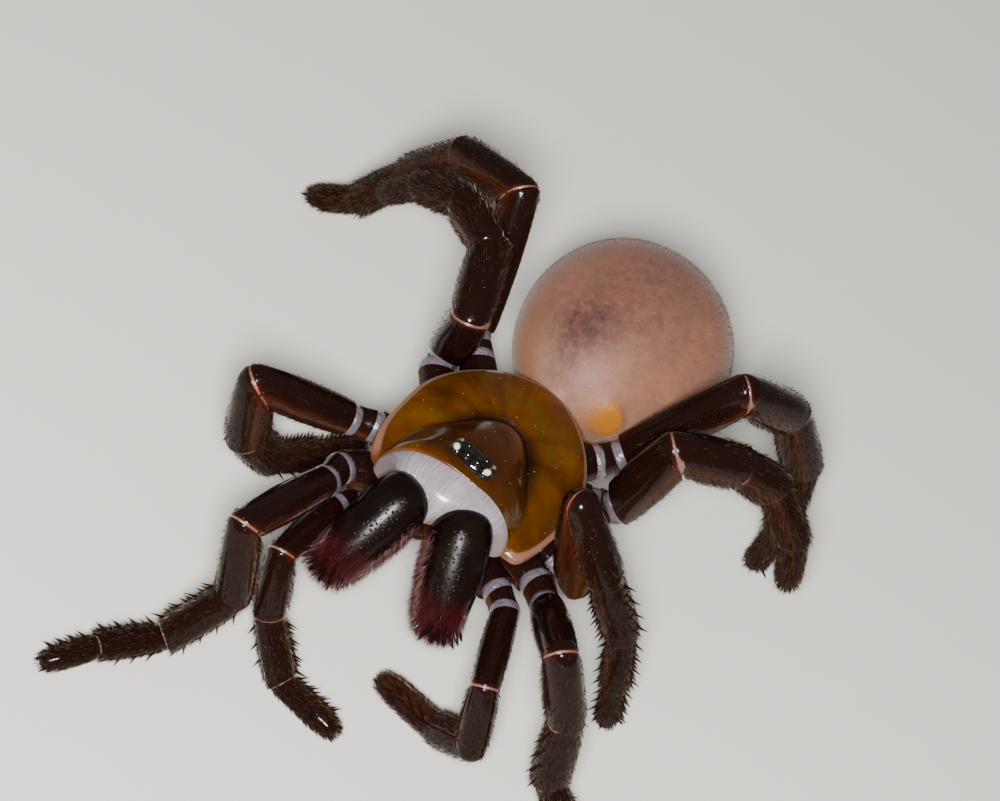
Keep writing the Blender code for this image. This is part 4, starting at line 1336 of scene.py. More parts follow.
def make_abdomen(velvet):
    """Abdomen and waist as one skin, with the fields of its markings and its fine coat."""
    waist_start = body_point(WAIST_START)
    waist_end = abdomen_point(-1, 0) + Vector((0.2, 0.5, 0))
    turns = [2 * math.pi * i / ABDOMEN_SIDES for i in range(ABDOMEN_SIDES)]
    rings = [[waist_start]]
    spots = [(-1.0, 0.0)]
    for k in range(PEDICEL_STEPS):
        share = k / PEDICEL_STEPS
        flare = 1 + 0.5 * between(0.65, 1.0, share) + 0.05 * math.sin(share * 40)
        radius = PEDICEL_RADIUS * flare
        rings.append(ring(
            waist_start.lerp(waist_end, share), LEFTWARDS, UP, radius, radius, ABDOMEN_SIDES))
        spots += [(-1.0, turn) for turn in turns]
    start = math.acos(0.97)
    for k in range(ABDOMEN_STEPS):
        along = -math.cos(start + (math.pi - start) * k / ABDOMEN_STEPS)
        rings.append([abdomen_point(along, turn) for turn in turns])
        spots += [(along, turn) for turn in turns]
    rings.append([abdomen_point(1, 0)])
    spots.append((1.0, 0.0))
    lie = tuple((abdomen_matrix() @ Vector((0, 1, -0.12))).normalized())
    marks = [abdomen_marks(along, turn, lie) for along, turn in spots]
    unwrap = [(turn / (2 * math.pi), 0.05 + 0.45 * (along + 1)) for along, turn in spots]
    piece = Piece()
    piece.add(loft(rings), 0, gathered(marks), unwrap)
    obj = piece.build("abdomen_sac", [velvet])
    return seat(obj, "abdomen skin", "abdomen", "pedicel")


def make_spinnerets(velvet):
    """Two long outer spinnerets of three ringed segments, with two small inner ones."""
    place = abdomen_matrix()
    rear = abdomen_point(0.9, -0.5 * math.pi)
    piece = Piece()
    for side in (1, -1):
        outward = (place @ Vector((0.45 * side, 1.0, 0.05))).normalized()
        start = rear + place @ Vector((1.05 * side, 0.35, -0.25))
        full_length = SPINNERET_SHAPE[-1][0]
        spans = [full_length * k / SPINNERET_STEPS for k in range(SPINNERET_STEPS + 1)]
        outer = tube(
            [start + outward * d for d in spans],
            [(curve_through(SPINNERET_SHAPE, d),) * 2 for d in spans], UP, 32)
        inner_start = start + place @ Vector((-0.55 * side, 0.1, -0.1))
        inner_way = (place @ Vector((0.1 * side, 1.0, -0.1))).normalized()
        inner = tube([inner_start, inner_start + inner_way * 1.1], [(0.34, 0.34)] * 2, UP, 24)
        for bm, way, root, reach, row in (
                (outer, outward, start, 3.5, 0), (inner, inner_way, inner_start, 1.5, 1)):
            marks = []
            unwrap = []
            for v in bm.verts:
                off = v.co - root
                along = min(1.0, max(0.0, off.dot(way) / reach))
                marks.append({
                    "dark": 0.3, "pale": 0.2, "bulge": 0.0,
                    "coat": (30 * between(0.1, 0.3, along), 0.45, 0.4), "lie": tuple(way)})
                unwrap.append((turn_share(off.x, off.z), along))
            cell = (0.5 * (side > 0), 0.5 * row, 0.48, 0.48)
            piece.add(bm, 0, gathered(marks), unwrap, cell)
    obj = piece.build("spinneret_skins", [velvet])
    return seat(obj, "abdomen skin", "spinnerets_left", "spinnerets_right")


# Limbs


def limb_points(name):
    """The joints of one limb, from the coxa's root to the tip of the tarsus."""
    side = side_of(name)
    pair = pair_of(name)
    pose = POSE[name]
    hip = Vector(pose["hip"])
    hip.x *= side
    root_y = COXA_ROOT_Y[pair]
    half_x, half_y = STERNUM_HALF
    root_x = side * half_x * 0.9 * math.sqrt(1 - (root_y / half_y) ** 2)
    points = {
        "root": body_point((root_x, root_y, hip.z - COXA_ROOT_DROP)), "hip": body_point(hip)}
    here = points["hip"]
    for segment, (length, radius) in SEGMENTS[pair].items():
        turn, rise = pose[segment]
        if rise is None:
            drop = here.z - radius * FOOT_PRESS
            rise = -math.degrees(math.asin(max(-1.0, min(1.0, drop / length))))
        here = here + heading(side, turn, rise) * length
        points[segment] = here
    return points


def limb_ways(joints):
    """The joints' names in order, and each segment's unit direction by its outer joint's name."""
    order = list(joints)
    along = {b: (joints[b] - joints[a]).normalized() for a, b in zip(order, order[1:])}
    return order, along


def segment_at(joint_name):
    """The segment that ends at a joint. Past the hip both have the same name."""
    return "coxa" if joint_name == "hip" else joint_name


def limb_frames(name):
    """Each segment's start, end, axis and upper side, keyed by the segment's name."""
    joints = limb_points(name)
    order, along = limb_ways(joints)
    dorsal = {"hip": square_to(UP, along["hip"])}
    dorsal["trochanter"] = carried(dorsal["hip"], along["hip"], along["trochanter"])
    dorsal["femur"] = square_to(UP, along["femur"])
    for a, b in zip(order[3:], order[4:]):
        dorsal[b] = carried(dorsal[a], along[a], along[b])
    return {
        segment_at(b): (joints[a], joints[b], along[b], dorsal[b])
        for a, b in zip(order, order[1:])}


def joint_cuts(joints, at):
    """Where a segment ends at its joints: each cut's point, outward normal, lip and redness."""
    order = list(joints)
    cuts = []
    for k, outward in ((at - 1, -1), (at, 1)):
        if not 0 < k < len(order) - 1:
            continue
        before, joint, after = (joints[order[i]] for i in (k - 1, k, k + 1))
        normal = ((joint - before).normalized() + (after - joint).normalized()).normalized()
        gap, lip, red = JOINTS[order[k]]
        cuts.append((joint - normal * (gap * outward), normal * outward, lip, red))
    return cuts


def cut_with_lip(bm, point, normal, lip):
    """Cuts a shell with a plane, leaves its edge thickened and folds the cut inwards."""
    for depth in LIP_LOOPS:
        bmesh.ops.bisect_plane(
            bm, geom=bm.verts[:] + bm.edges[:] + bm.faces[:], dist=CUT_WELD,
            plane_co=point - normal * depth, plane_no=normal)
    bm.normal_update()
    for v in bm.verts:
        depth = (point - v.co).dot(normal)
        if -0.02 < depth < LIP_REACH:
            v.co += v.normal * (lip * math.sin(math.pi * (0.15 + 0.85 * depth / LIP_REACH)))
    cut = bmesh.ops.bisect_plane(
        bm, geom=bm.verts[:] + bm.edges[:] + bm.faces[:], dist=CUT_WELD,
        plane_co=point, plane_no=normal, clear_outer=True)
    edges = [e for e in cut["geom_cut"] if isinstance(e, bmesh.types.BMEdge) and e.is_valid]
    if not edges:
        return
    filled = bmesh.ops.contextual_create(bm, geom=edges)["faces"]
    for depth in (0.0, -CUT_HOLLOW):
        bmesh.ops.inset_region(bm, faces=filled, thickness=CUT_INSET, depth=depth)


def segment_stations(segment, radius):
    """The half width and height along a segment, fullest near its outer third."""
    swell = {"femur": 1.06, "trochanter": 1.0}.get(segment, 1.02)
    start, end = {"trochanter": (1.04, 0.96), "tarsus": (1.0, 0.86)}.get(segment, (0.9, 0.94))
    quarter = (start + swell) / 2 + 0.02
    shape = [(0.0, start), (0.2, quarter), (0.55, swell), (0.85, 1.0), (1.0, end)]
    stations = []
    for t in (k / SEGMENT_STEPS for k in range(SEGMENT_STEPS + 1)):
        girth = radius * curve_through(shape, t)
        stations.append((t, SEGMENT_WIDE * girth, SEGMENT_HIGH * girth))
    return stations


def coxa_stations():
    """The half width and height along a coxa."""
    wide = [(t, w) for t, w, _ in COXA_STATIONS]
    high = [(t, h) for t, _, h in COXA_STATIONS]
    shares = [k / COXA_STEPS for k in range(COXA_STEPS + 1)]
    return [(t, curve_through(wide, t), curve_through(high, t)) for t in shares]


def coxa_bounds(name):
    """The planes that part a coxa from its neighbours on the same side."""
    side_name, pair = name.split("_", 1)
    index = PAIR_ORDER.index(pair)
    mine = limb_points(name)
    planes = []
    for step in (-1, 1):
        if not 0 <= index + step < len(PAIR_ORDER):
            continue
        other = limb_points(side_name + "_" + PAIR_ORDER[index + step])
        inner = (mine["root"] + other["root"]) / 2
        outer = (mine["hip"] + other["hip"]) / 2
        along = (outer - inner).normalized()
        towards = other["root"] + other["hip"] - mine["root"] - mine["hip"]
        normal = square_to(towards, along)
        planes.append((inner - normal * COXA_GAP, normal))
    return planes


def limb_backs(joints):
    """Each segment's outer side at the knee, keyed by the segment's name."""
    order, along = limb_ways(joints)
    backs = {b: square_to(UP, along[b]) for b in ("hip", "trochanter", "femur")}
    if along["femur"].angle(along["patella"]) > STRAIGHT_KNEE:
        backs["femur"] = -square_to(along["patella"], along["femur"])
    for a, b in zip(order[3:], order[4:]):
        backs[b] = carried(backs[a], along[a], along[b])
    return {segment_at(b): back for b, back in backs.items()}


def segment_fields(bm, segment, pair, frame_here, cuts):
    """The point fields of one shell: its upper side, its rims, and the coat's make and lie."""
    start, end, axis, back = frame_here
    length = (end - start).length
    above, below, above_length, below_length, stand = COATS[segment]
    if pair in ("leg_3", "leg_4") and segment in ("metatarsus", "tarsus"):
        above_length *= HIND_FOOT_LONGER
        below_length *= HIND_FOOT_LONGER
    lowest = {"femur": 0.0, "patella": 0.2}.get(segment, 0.4)
    across = axis.cross(back)
    marks = []
    unwrap = []
    for v in bm.verts:
        off = v.co - start
        t = off.dot(axis) / length
        out = outward_of(off, axis, back)
        up_share = out.dot(back)
        depths = [((point - v.co).dot(normal), red) for point, normal, _, red in cuts]
        low = between(0.1, -0.6, up_share)
        smooth_back = 1.0
        if segment == "patella":
            smooth_back = 1 - 0.8 * between(0.1, 0.6, up_share) * (1 - between(0.4, 0.8, t))
        if segment == "tibia":
            smooth_back = 1 - 0.6 * between(0.6, 0.9, up_share) * (1 - between(0.3, 0.7, t))
        clear = between(0.05, 0.2, min((depth for depth, _ in depths), default=1.0))
        rim = max((red * (1 - between(0.05, 0.22, depth)) for depth, red in depths), default=0.0)
        marks.append({
            "dorsal": max(lowest, 0.5 + 0.5 * up_share),
            "rim": rim * (0.15 + 0.85 * between(0.6, 0.95, abs(out.dot(across)))),
            "coat": (
                (above * smooth_back * (1 - low) + below * low) * clear,
                above_length * (1 - low) + below_length * low, stand),
            "lie": tuple(axis)})
        unwrap.append((
            turn_share(out.dot(across), up_share),
            0.02 + 0.96 * min(1.0, max(0.0, (t + 0.2) / 1.4))))
    return gathered(marks), unwrap


def joint_skin(joint, before, after, wide, gap, swell):
    """The soft skin that fills a joint: a short rounded sleeve through it, swollen in the middle."""
    inward = (joint - before).normalized()
    outward = (after - joint).normalized()
    axis = (inward + outward).normalized()
    bend = outward - inward
    upward = square_to(bend if bend.length > 0.05 else Vector((0.3, 0.9, 0.1)), axis)
    stretch = 1.0 / max(0.5, inward.dot(axis))
    reach = gap + JOINT_SKIN_REACH
    rings = [[joint - axis * (reach + 0.3 * wide)]]
    for k in range(JOINT_SKIN_STEPS + 1):
        share = 2 * k / JOINT_SKIN_STEPS - 1
        bulge = 1 + swell - (0.07 + 2 * swell) * share * share + 0.012 * math.cos(share * 16)
        bulge -= 0.25 if abs(share) == 1 else 0
        rings.append(ring(
            joint + axis * (reach * share), axis.cross(upward), upward,
            wide * bulge, wide * bulge * 1.04, JOINT_SKIN_SIDES))
    rings.append([joint + axis * (reach + 0.3 * wide)])
    bm = loft(rings)
    for v in bm.verts:
        v.co += upward * (max(0.0, (v.co - joint).dot(upward)) * (stretch - 1))
        v.co.z = max(v.co.z, SKIN_CLEARANCE)
    return bm


def make_limb(name, lip_factor, cuticle, soft):
    """One limb: a hard shell for each segment with soft skin between them."""
    pair = pair_of(name)
    sizes = SEGMENTS[pair]
    joints = limb_points(name)
    order = list(joints)
    backs = limb_backs(joints)
    frames = limb_frames(name)
    piece = Piece()
    for row, (segment, (start, end, axis, dorsal)) in enumerate(frames.items()):
        at_coxa = segment == "coxa"
        rows = coxa_stations() if at_coxa else segment_stations(segment, sizes[segment][1])
        bm = tube(
            [start.lerp(end, t) for t, _, _ in rows], [(w, h) for _, w, h in rows], dorsal,
            SHELL_SIDES, fullness=SEGMENT_FULLNESS)
        cuts = joint_cuts(joints, row + 1)
        for point, normal, lip, _ in cuts:
            cut_with_lip(bm, point, normal, lip * lip_factor)
        for point, normal in coxa_bounds(name) if at_coxa else ():
            cut_with_lip(bm, point, normal, 0.0)
        if min(v.co.z for v in bm.verts) < 0.0:
            cut_with_lip(bm, UP * SHELL_CLEARANCE, -UP, 0.0)
        fields, unwrap = segment_fields(bm, segment, pair, (start, end, axis, backs[segment]), cuts)
        cell = (0.0, row / len(frames), 1.0, 0.94 / len(frames))
        piece.add(bm, 0, fields, unwrap, cell)
    for before, at, after in zip(order, order[1:], order[2:]):
        pale = at in ("hip", "trochanter")
        inner = 0.95 if at == "hip" else sizes[at][1]
        wide = (0.96 if pale else 0.9) * min(inner, sizes[after][1])
        bm = joint_skin(
            joints[at], joints[before], joints[after], wide, JOINTS[at][0],
            HIP_SWELL if pale else 0.0)
        count = len(bm.verts)
        piece.add(bm, 1, {
            "outer": [0.0 if pale else 1.0] * count, "lilac_and_shade": [1.0] * count,
            "crease": [tuple(v.co * 1.6) for v in bm.verts]})
    obj = piece.build(name + "_shells", [cuticle, soft])
    parts = ["coxa", "femur", "patella"] + (["tibia"] if pair != "palp" else []) + ["foot"]
    return seat(obj, "leg cuticle", *(name + "_" + part for part in parts))


def make_claws(cuticle):
    """A pair of claws on each limb, curving down no further than the floor."""
    rows = []
    for name in POSE:
        _, tip, axis, dorsal = limb_frames(name)["tarsus"]
        across = axis.cross(dorsal)
        for s in (-1, 1):
            way = (axis + across * (0.25 * s) + dorsal * 0.1).normalized()
            root = tip - axis * 0.1 + across * (0.22 * s) + dorsal * 0.1
            rise = max(way.z, CLAW_BEND - root.z)
            level = Vector((way.x, way.y, 0)).normalized()
            way = level * math.sqrt(1 - rise * rise) + UP * rise
            rows.append((root, way, dorsal, Vector((CLAW_RADIUS, CLAW_RADIUS, 1.0))))
    return seat(stamped("claws", rows, thorn("claw_stamp", CLAW_BEND), cuticle), "leg cuticle")


def make_side_spines(cuticle):
    """Rows of stout spines along the lower sides of the palps and the first two pairs of legs."""
    rows = []
    for name in POSE:
        pair = pair_of(name)
        if pair in ("leg_3", "leg_4"):
            continue
        frames = limb_frames(name)
        parts = ("tibia", "tarsus") if pair == "palp" else ("tibia", "metatarsus", "tarsus")
        for part in parts:
            start, end, axis, dorsal = frames[part]
            radius = SEGMENTS[pair][part][1]
            across = axis.cross(dorsal)
            for k in range(SPINE_COUNT):
                share = 0.1 + 0.8 * (k + 0.5) / SPINE_COUNT
                long = SPINE_LENGTHS[k % len(SPINE_LENGTHS)]
                for s in (-1, 1):
                    out = (across * s - dorsal * (0.1 + 0.3 * (k % 3))).normalized()
                    root = start.lerp(end, share) + out * (radius * 0.9)
                    way = (out + axis * 0.9).normalized()
                    if root.z + way.z * long > SPINE_CLEARANCE:
                        rows.append((root, way, axis, Vector((SPINE_RADIUS, SPINE_RADIUS, long))))
    spines = stamped("side_spines", rows, thorn("spine_stamp", SPINE_BEND), cuticle)
    return seat(spines, "leg cuticle")


def make_knee_knobs(cuticle):
    """The small red hinge knobs on both sides of each knee."""
    rows = []
    for name in POSE:
        _, end, axis, dorsal = limb_frames(name)["femur"]
        across = axis.cross(dorsal)
        radius = SEGMENTS[pair_of(name)]["femur"][1]
        for s in (-1, 1):
            place = end + across * (radius * 0.84 * s) + dorsal * (radius * 0.2)
            size = KNOB_SIZE * radius
            rows.append((place, across * s, dorsal, Vector((size * 1.7, size, size * 0.6))))
    stamp = Piece()
    knob = ball(1.0, 14, 8)
    stamp.add(knob, 0, {"rim": [0.7] * len(knob.verts), "dorsal": [1.0] * len(knob.verts)})
    knobs = stamped("knee_knobs", rows, stamp.build("knob_stamp", [cuticle]), cuticle)
    return seat(knobs, "leg cuticle")


# Repeated pieces


def thorn(name, bend):
    """A curved horn, 1 mm long and 1 mm in root radius, which bends away from its local +X."""
    rings = []
    for k in range(THORN_STEPS):
        share = k / THORN_STEPS
        girth = (1 - share) ** 0.75
        centre = Vector((-bend * share ** 2, 0, share))
        rings.append(ring(centre, LEFTWARDS, REARWARDS, girth, girth, THORN_SIDES))
    rings.append([Vector((-bend, 0, 1.0))])
    horn = loft(rings)
    piece = Piece()
    piece.add(horn, 0, {"dorsal": [1.0] * len(horn.verts)})
    return piece.build(name, [])


def bristle_stamp():
    """One bristle, 1 mm long and 1 mm in root radius: three-sided, bent back towards the skin."""
    rings = []
    for share, girth, bend in ((0.0, 0.8, 0.0), (0.45, 0.75, 0.03)):
        rings.append(ring(Vector((bend, 0, share)), LEFTWARDS, REARWARDS, girth, girth, 3))
    rings.append([Vector((-0.1, 0, 1.0))])
    bm = loft(rings)
    heights = [v.co.z for v in bm.verts]
    turns = [(0.5 + 0.4 * math.atan2(v.co.y, v.co.x) / math.pi, v.co.z) for v in bm.verts]
    piece = Piece()
    piece.add(bm, 0, {"along": heights}, turns)
    obj = piece.build("bristle_stamp", [])
    obj.data.attributes["unwrap"].name = "patch"
    return obj


def plain_result(source, tree, inputs, name):
    """Runs a tree on an object and returns the result as a plain mesh object."""
    modifier = source.modifiers.new(tree.name, "NODES")
    modifier.node_group = tree
    for item in tree.interface.items_tree:
        if item.item_type == "SOCKET" and item.in_out == "INPUT" and item.name in inputs:
            modifier[item.identifier] = inputs[item.name]
    bpy.context.view_layer.update()
    graph = bpy.context.evaluated_depsgraph_get()
    mesh = bpy.data.meshes.new_from_object(
        source.evaluated_get(graph), preserve_all_data_layers=True, depsgraph=graph)
    source.modifiers.remove(modifier)
    if not mesh.polygons:
        raise RuntimeError(f"{name} came out empty")
    mesh.name = name
    return linked(name, mesh)


def tree_inputs(tree, *sockets):
    """Gives a tree its named inputs and its result, and returns the inputs' outputs by name."""
    for name, kind in sockets:
        tree.interface.new_socket(name, in_out="INPUT", socket_type="NodeSocket" + kind)
    tree.interface.new_socket("Result", in_out="OUTPUT", socket_type="NodeSocketGeometry")
    return node(tree, "NodeGroupInput").outputs


def facing(tree, way, side):
    """The rotation that points local Z along the way and local X towards the side."""
    turned = node(tree, "FunctionNodeAlignRotationToVector", {"Vector": way}, {"axis": "Z"})
    return node(
        tree, "FunctionNodeAlignRotationToVector",
        {"Rotation": turned.outputs["Rotation"], "Vector": side},
        {"axis": "X", "pivot_axis": "Z"}).outputs["Rotation"]


def named(tree, name):
    """A vector field of the mesh that the tree runs on."""
    return node(
        tree, "GeometryNodeInputNamedAttribute", {"Name": name}, {"data_type": "FLOAT_VECTOR"}
    ).outputs["Attribute"]


def stored(tree, geometry, name, value, data_type, domain):
    """The geometry with a value kept on it under a name."""
    return node(
        tree, "GeometryNodeStoreNamedAttribute",
        {"Geometry": geometry, "Name": name, "Value": value},
        {"data_type": data_type, "domain": domain}).outputs["Geometry"]


def random_number(tree, low, high, seed):
    """A random number for each point."""
    return node(
        tree, "FunctionNodeRandomValue", {2: low, 3: high, "Seed": seed}, {"data_type": "FLOAT"}
    ).outputs[1]


def copies_of(tree, stamp, points, rotation, scale):
    """Copies of the stamp on the points, as real geometry."""
    one = node(tree, "GeometryNodeObjectInfo", {"Object": stamp}).outputs["Geometry"]
    copies = node(
        tree, "GeometryNodeInstanceOnPoints",
        {"Points": points, "Instance": one, "Rotation": rotation, "Scale": scale})
    return node(
        tree, "GeometryNodeRealizeInstances", {"Geometry": copies.outputs["Instances"]}
    ).outputs["Geometry"]


def end_tree(tree, geometry, material):
    """Sets the material and hands the geometry out of the tree."""
    dressed = node(tree, "GeometryNodeSetMaterial", {"Geometry": geometry, "Material": material})
    node(tree, "NodeGroupOutput", {"Result": dressed.outputs["Geometry"]})
    return tree


def stamp_tree():
    """Sets a copy of the stamp on each point, along its way, at its size."""
    tree = bpy.data.node_groups.new("Stamps on points", "GeometryNodeTree")
    given = tree_inputs(
        tree, ("Points", "Geometry"), ("Stamp", "Object"), ("Material", "Material"), ("Size", "Float"))
    real = copies_of(
        tree, given["Stamp"], given["Points"],
        facing(tree, named(tree, "way"), named(tree, "side")),
        scaled(tree, named(tree, "size"), given["Size"]))
    return end_tree(tree, real, given["Material"])


def stamped(name, rows, stamp, material):
    """Copies of the stamp, one for each row of place, way, side and size, as one plain mesh."""
    mesh = bpy.data.meshes.new(name + "_points")
    mesh.from_pydata([tuple(row[0] * MM) for row in rows], [], [])
    for field, column in (("way", 1), ("side", 2), ("size", 3)):
        layer = mesh.attributes.new(field, "FLOAT_VECTOR", "POINT")
        layer.data.foreach_set("vector", np.ravel([tuple(row[column]) for row in rows]))
    points = linked(name + "_points", mesh)
    tree = bpy.data.node_groups.get("Stamps on points") or stamp_tree()
    obj = plain_result(points, tree, {"Stamp": stamp, "Material": material, "Size": 1.0}, name)
    for used in (points, stamp):
        bpy.data.objects.remove(used, do_unlink=True)
    for field in ("way", "side", "size", "unwrap"):
        layer = obj.data.attributes.get(field)
        if layer is not None:
            obj.data.attributes.remove(layer)
    return obj


def bristle_tree():
    """Grows bristles on a skin, from its fields coat (density, length, stand) and lie."""
    tree = bpy.data.node_groups.new("Bristles on a skin", "GeometryNodeTree")
    given = tree_inputs(
        tree, ("Skin", "Geometry"), ("Bristle", "Object"), ("Material", "Material"),
        ("Density", "Float"), ("Length", "Float"), ("Radius", "Float"), ("Lift", "Float"),
        ("Scatter", "Float"), ("Seed", "Int"))
    coat = node(tree, "ShaderNodeSeparateXYZ", {"Vector": named(tree, "coat")}).outputs
    spread = node(
        tree, "GeometryNodeDistributePointsOnFaces",
        {"Mesh": given["Skin"], "Density": times(tree, coat["X"], given["Density"]),
         "Seed": given["Seed"]}, {"distribute_method": "RANDOM"}).outputs
    tinted = stored(
        tree, spread["Points"], "tint", random_number(tree, 0.0, 1.0, 3), "FLOAT", "POINT")
    # Each bristle's way: along the skin, lifted off it, and a little astray
    stray = node(
        tree, "FunctionNodeRandomValue", {0: (-1.0, -1.0, -1.0), 1: (1.0, 1.0, 1.0), "Seed": 11},
        {"data_type": "FLOAT_VECTOR"}).outputs[0]
    lift = scaled(tree, spread["Normal"], times(tree, coat["Z"], given["Lift"]))
    way = added(
        tree, added(tree, named(tree, "lie"), lift), scaled(tree, stray, given["Scatter"]))
    varied = times(tree, coat["Y"], random_number(tree, 0.55, 1.15, 5))
    length = times(tree, varied, given["Length"])
    size = node(
        tree, "ShaderNodeCombineXYZ", {"X": given["Radius"], "Y": given["Radius"], "Z": length})
    # A bristle whose tip would end under the floor is left out
    straight = node(
        tree, "ShaderNodeVectorMath", {0: way}, {"operation": "NORMALIZE"}).outputs["Vector"]
    place = node(tree, "GeometryNodeInputPosition").outputs[0]
    tip = added(tree, place, scaled(tree, straight, times(tree, length, MM)))
    tip_height = node(tree, "ShaderNodeSeparateXYZ", {"Vector": tip}).outputs["Z"]
    under_floor = node(
        tree, "FunctionNodeCompare", {"A": tip_height, "B": BRISTLE_CLEARANCE * MM},
        {"data_type": "FLOAT", "operation": "LESS_THAN"})
    kept = node(
        tree, "GeometryNodeDeleteGeometry",
        {"Geometry": tinted, "Selection": under_floor.outputs["Result"]}, {"domain": "POINT"})
    real = copies_of(
        tree, given["Bristle"], kept.outputs["Geometry"],
        facing(tree, way, spread["Normal"]), size.outputs["Vector"])
    # A bristle's patch of the bake map lies at its root's place on the unwrapped skin
    patch = added(tree, named(tree, "unwrap"), scaled(tree, named(tree, "patch"), PATCH_SIZE))
    mapped = stored(tree, real, "OFBake", patch, "FLOAT2", "CORNER")
    return end_tree(tree, mapped, given["Material"])


def grow_coat(skin_name, settings, material, slot, radius=1.0):
    """The coat of one skin as a piece of its own."""
    skin = bpy.data.objects[skin_name]
    tree = bpy.data.node_groups.get("Bristles on a skin") or bristle_tree()
    stamp = bpy.data.objects.get("bristle_stamp") or bristle_stamp()
    obj = plain_result(skin, tree, {
        "Bristle": stamp, "Material": material, "Density": settings.density / MM ** 2,
        "Length": settings.length, "Radius": settings.radius * radius,
        "Lift": settings.lift, "Scatter": settings.scatter, "Seed": settings.seed,
    }, skin_name + "_bristles")
    for layer in [a.name for a in obj.data.attributes if a.name not in KEPT_FIELDS]:
        obj.data.attributes.remove(obj.data.attributes[layer])
    obj.data.shade_smooth()
    return seat(obj, slot)


def drop_coat_fields():
    """Takes the coat's fields off the skins once the coat is grown."""
    for obj in bpy.context.scene.objects:
        if obj.type == "MESH" and "coat" in obj.data.attributes:
            for field in ("coat", "lie", "unwrap"):
                obj.data.attributes.remove(obj.data.attributes[field])


# Stage


def camera_axes():
    """The photo camera's right, up and backward directions."""
    azimuth, elevation, roll = (
        math.radians(a) for a in (CAMERA_AZIMUTH, CAMERA_ELEVATION, CAMERA_ROLL))
    level = Vector((math.cos(azimuth), math.sin(azimuth), 0))
    ahead = Vector((-math.sin(azimuth), math.cos(azimuth), 0))
    upward = ahead * math.sin(elevation) + UP * math.cos(elevation)
    back = UP * math.sin(elevation) - ahead * math.cos(elevation)
    right = level * math.cos(roll) - upward * math.sin(roll)
    above = level * math.sin(roll) + upward * math.cos(roll)
    return right, above, back


def make_camera():
    """The photo's camera, which sees the body at the photo's place in the picture."""
    right, above, back = camera_axes()
    wide, high = IMAGE_SIZE
    aside = (wide / 2 - BODY_PIXEL[0]) / PIXELS_PER_MM
    lift = (BODY_PIXEL[1] - high / 2) / PIXELS_PER_MM
    place = body_point(back * CAMERA_DISTANCE + right * aside + above * lift)
    data = bpy.data.cameras.new("photo camera")
    data.sensor_width = SENSOR_WIDTH
    data.lens = PIXELS_PER_MM * CAMERA_DISTANCE * SENSOR_WIDTH / wide
    data.clip_start = CLIP_START * MM
    data.clip_end = CLIP_END * MM
    turn = Matrix((right, above, back)).transposed()
    obj = linked("photo camera", data)
    obj.matrix_world = Matrix.Translation(place * MM) @ turn.to_4x4()
    bpy.context.scene.camera = obj


def add_light(name, place, target, power, size):
    """A square soft light at a place in millimetres, which faces the target."""
    data = bpy.data.lights.new(name, "AREA")
    data.energy = power
    data.size = size
    turn = (target - place).to_track_quat("-Z", "Y").to_matrix()
    linked(name, data).matrix_world = Matrix.Translation(place * MM) @ turn.to_4x4()


def make_floor(settings):
    """A plain matt floor with the faintest grain."""
    made, tree = new_material("painted floor board")
    grain = noise_of(tree, object_place(tree), per_mm(6.0), 3.0)
    clouds = ramped(tree, grain, (0.3, 0.0), (0.7, 0.12))
    base = blended(tree, clouds, settings.floor_colour, linear(FLOOR_SHADE))
    rough = ramped(tree, grain, (0.3, 0.75), (0.7, 0.85))
    finished(tree, {"Base Color": base, "Roughness": rough, "IOR": 1.45})
    corners = [(x * FLOOR_HALF, y * FLOOR_HALF, 0) for x, y in ((-1, -1), (1, -1), (1, 1), (-1, 1))]
    mesh = bpy.data.meshes.new("floor")
    mesh.from_pydata(corners, [], [(0, 1, 2, 3)])
    mesh.materials.append(made)
    linked("floor", mesh)


def make_lights(settings):
    """One soft key light by the camera and an even sky."""
    _, above, back = camera_axes()
    place = KEY_TARGET + back * KEY_DISTANCE - above * KEY_DROP
    add_light("key light", place, KEY_TARGET, settings.key_power, settings.key_size)
    world = bpy.context.scene.world or bpy.data.worlds.new("studio")
    bpy.context.scene.world = world
    world.use_nodes = True
    tree = world.node_tree
    tree.nodes.clear()
    sky = node(tree, "ShaderNodeBackground", {
        "Color": (1.0, 0.99, 0.97, 1.0), "Strength": settings.sky_strength})
    node(tree, "ShaderNodeOutputWorld", {"Surface": sky.outputs["Background"]})


# Operators


class SpiderStep:
    """What the operators share: each one makes its pieces from the sidebar's settings."""

    def execute(self, context):
        self.make(context.scene.trapdoor_spider)
        return {"FINISHED"}


class SPIDER_OT_stage(SpiderStep, bpy.types.Operator):
    """Sets the camera, the soft lights and the plain floor"""
    bl_idname = "spider.stage"
    bl_label = "Stage"

    def make(self, settings):
        make_camera()
        make_lights(settings.stage)
        make_floor(settings.stage)


class SPIDER_OT_carapace(SpiderStep, bpy.types.Operator):
    """Builds the glossy back shield with its groove and furrows"""
    bl_idname = "spider.carapace"
    bl_label = "Carapace"

    def make(self, settings):
        make_carapace(settings.shell)


class SPIDER_OT_eyes(SpiderStep, bpy.types.Operator):
    """Builds the eye mound and its eight lenses"""
    bl_idname = "spider.eyes"
    bl_label = "Eyes"

    def make(self, settings):
        make_eyes()


class SPIDER_OT_soft_front(SpiderStep, bpy.types.Operator):
    """Builds the pale pad over the jaws and the folded side skin"""
    bl_idname = "spider.soft_front"
    bl_label = "Soft front and sides"

    def make(self, settings):
        soft = soft_membrane(settings.skin)
        make_jaw_membrane(soft)
        make_side_skin(soft)


class SPIDER_OT_jaws(SpiderStep, bpy.types.Operator):
    """Builds the chelicerae, their fangs and the digging rake"""
    bl_idname = "spider.jaws"
    bl_label = "Jaws"

    def make(self, settings):
        cuticle = jaw_cuticle(settings.shell)
        for side_name in CHELICERA_POSE:
            make_chelicera(side_name, cuticle)
            make_fang(side_name, cuticle)
        make_rake(cuticle)


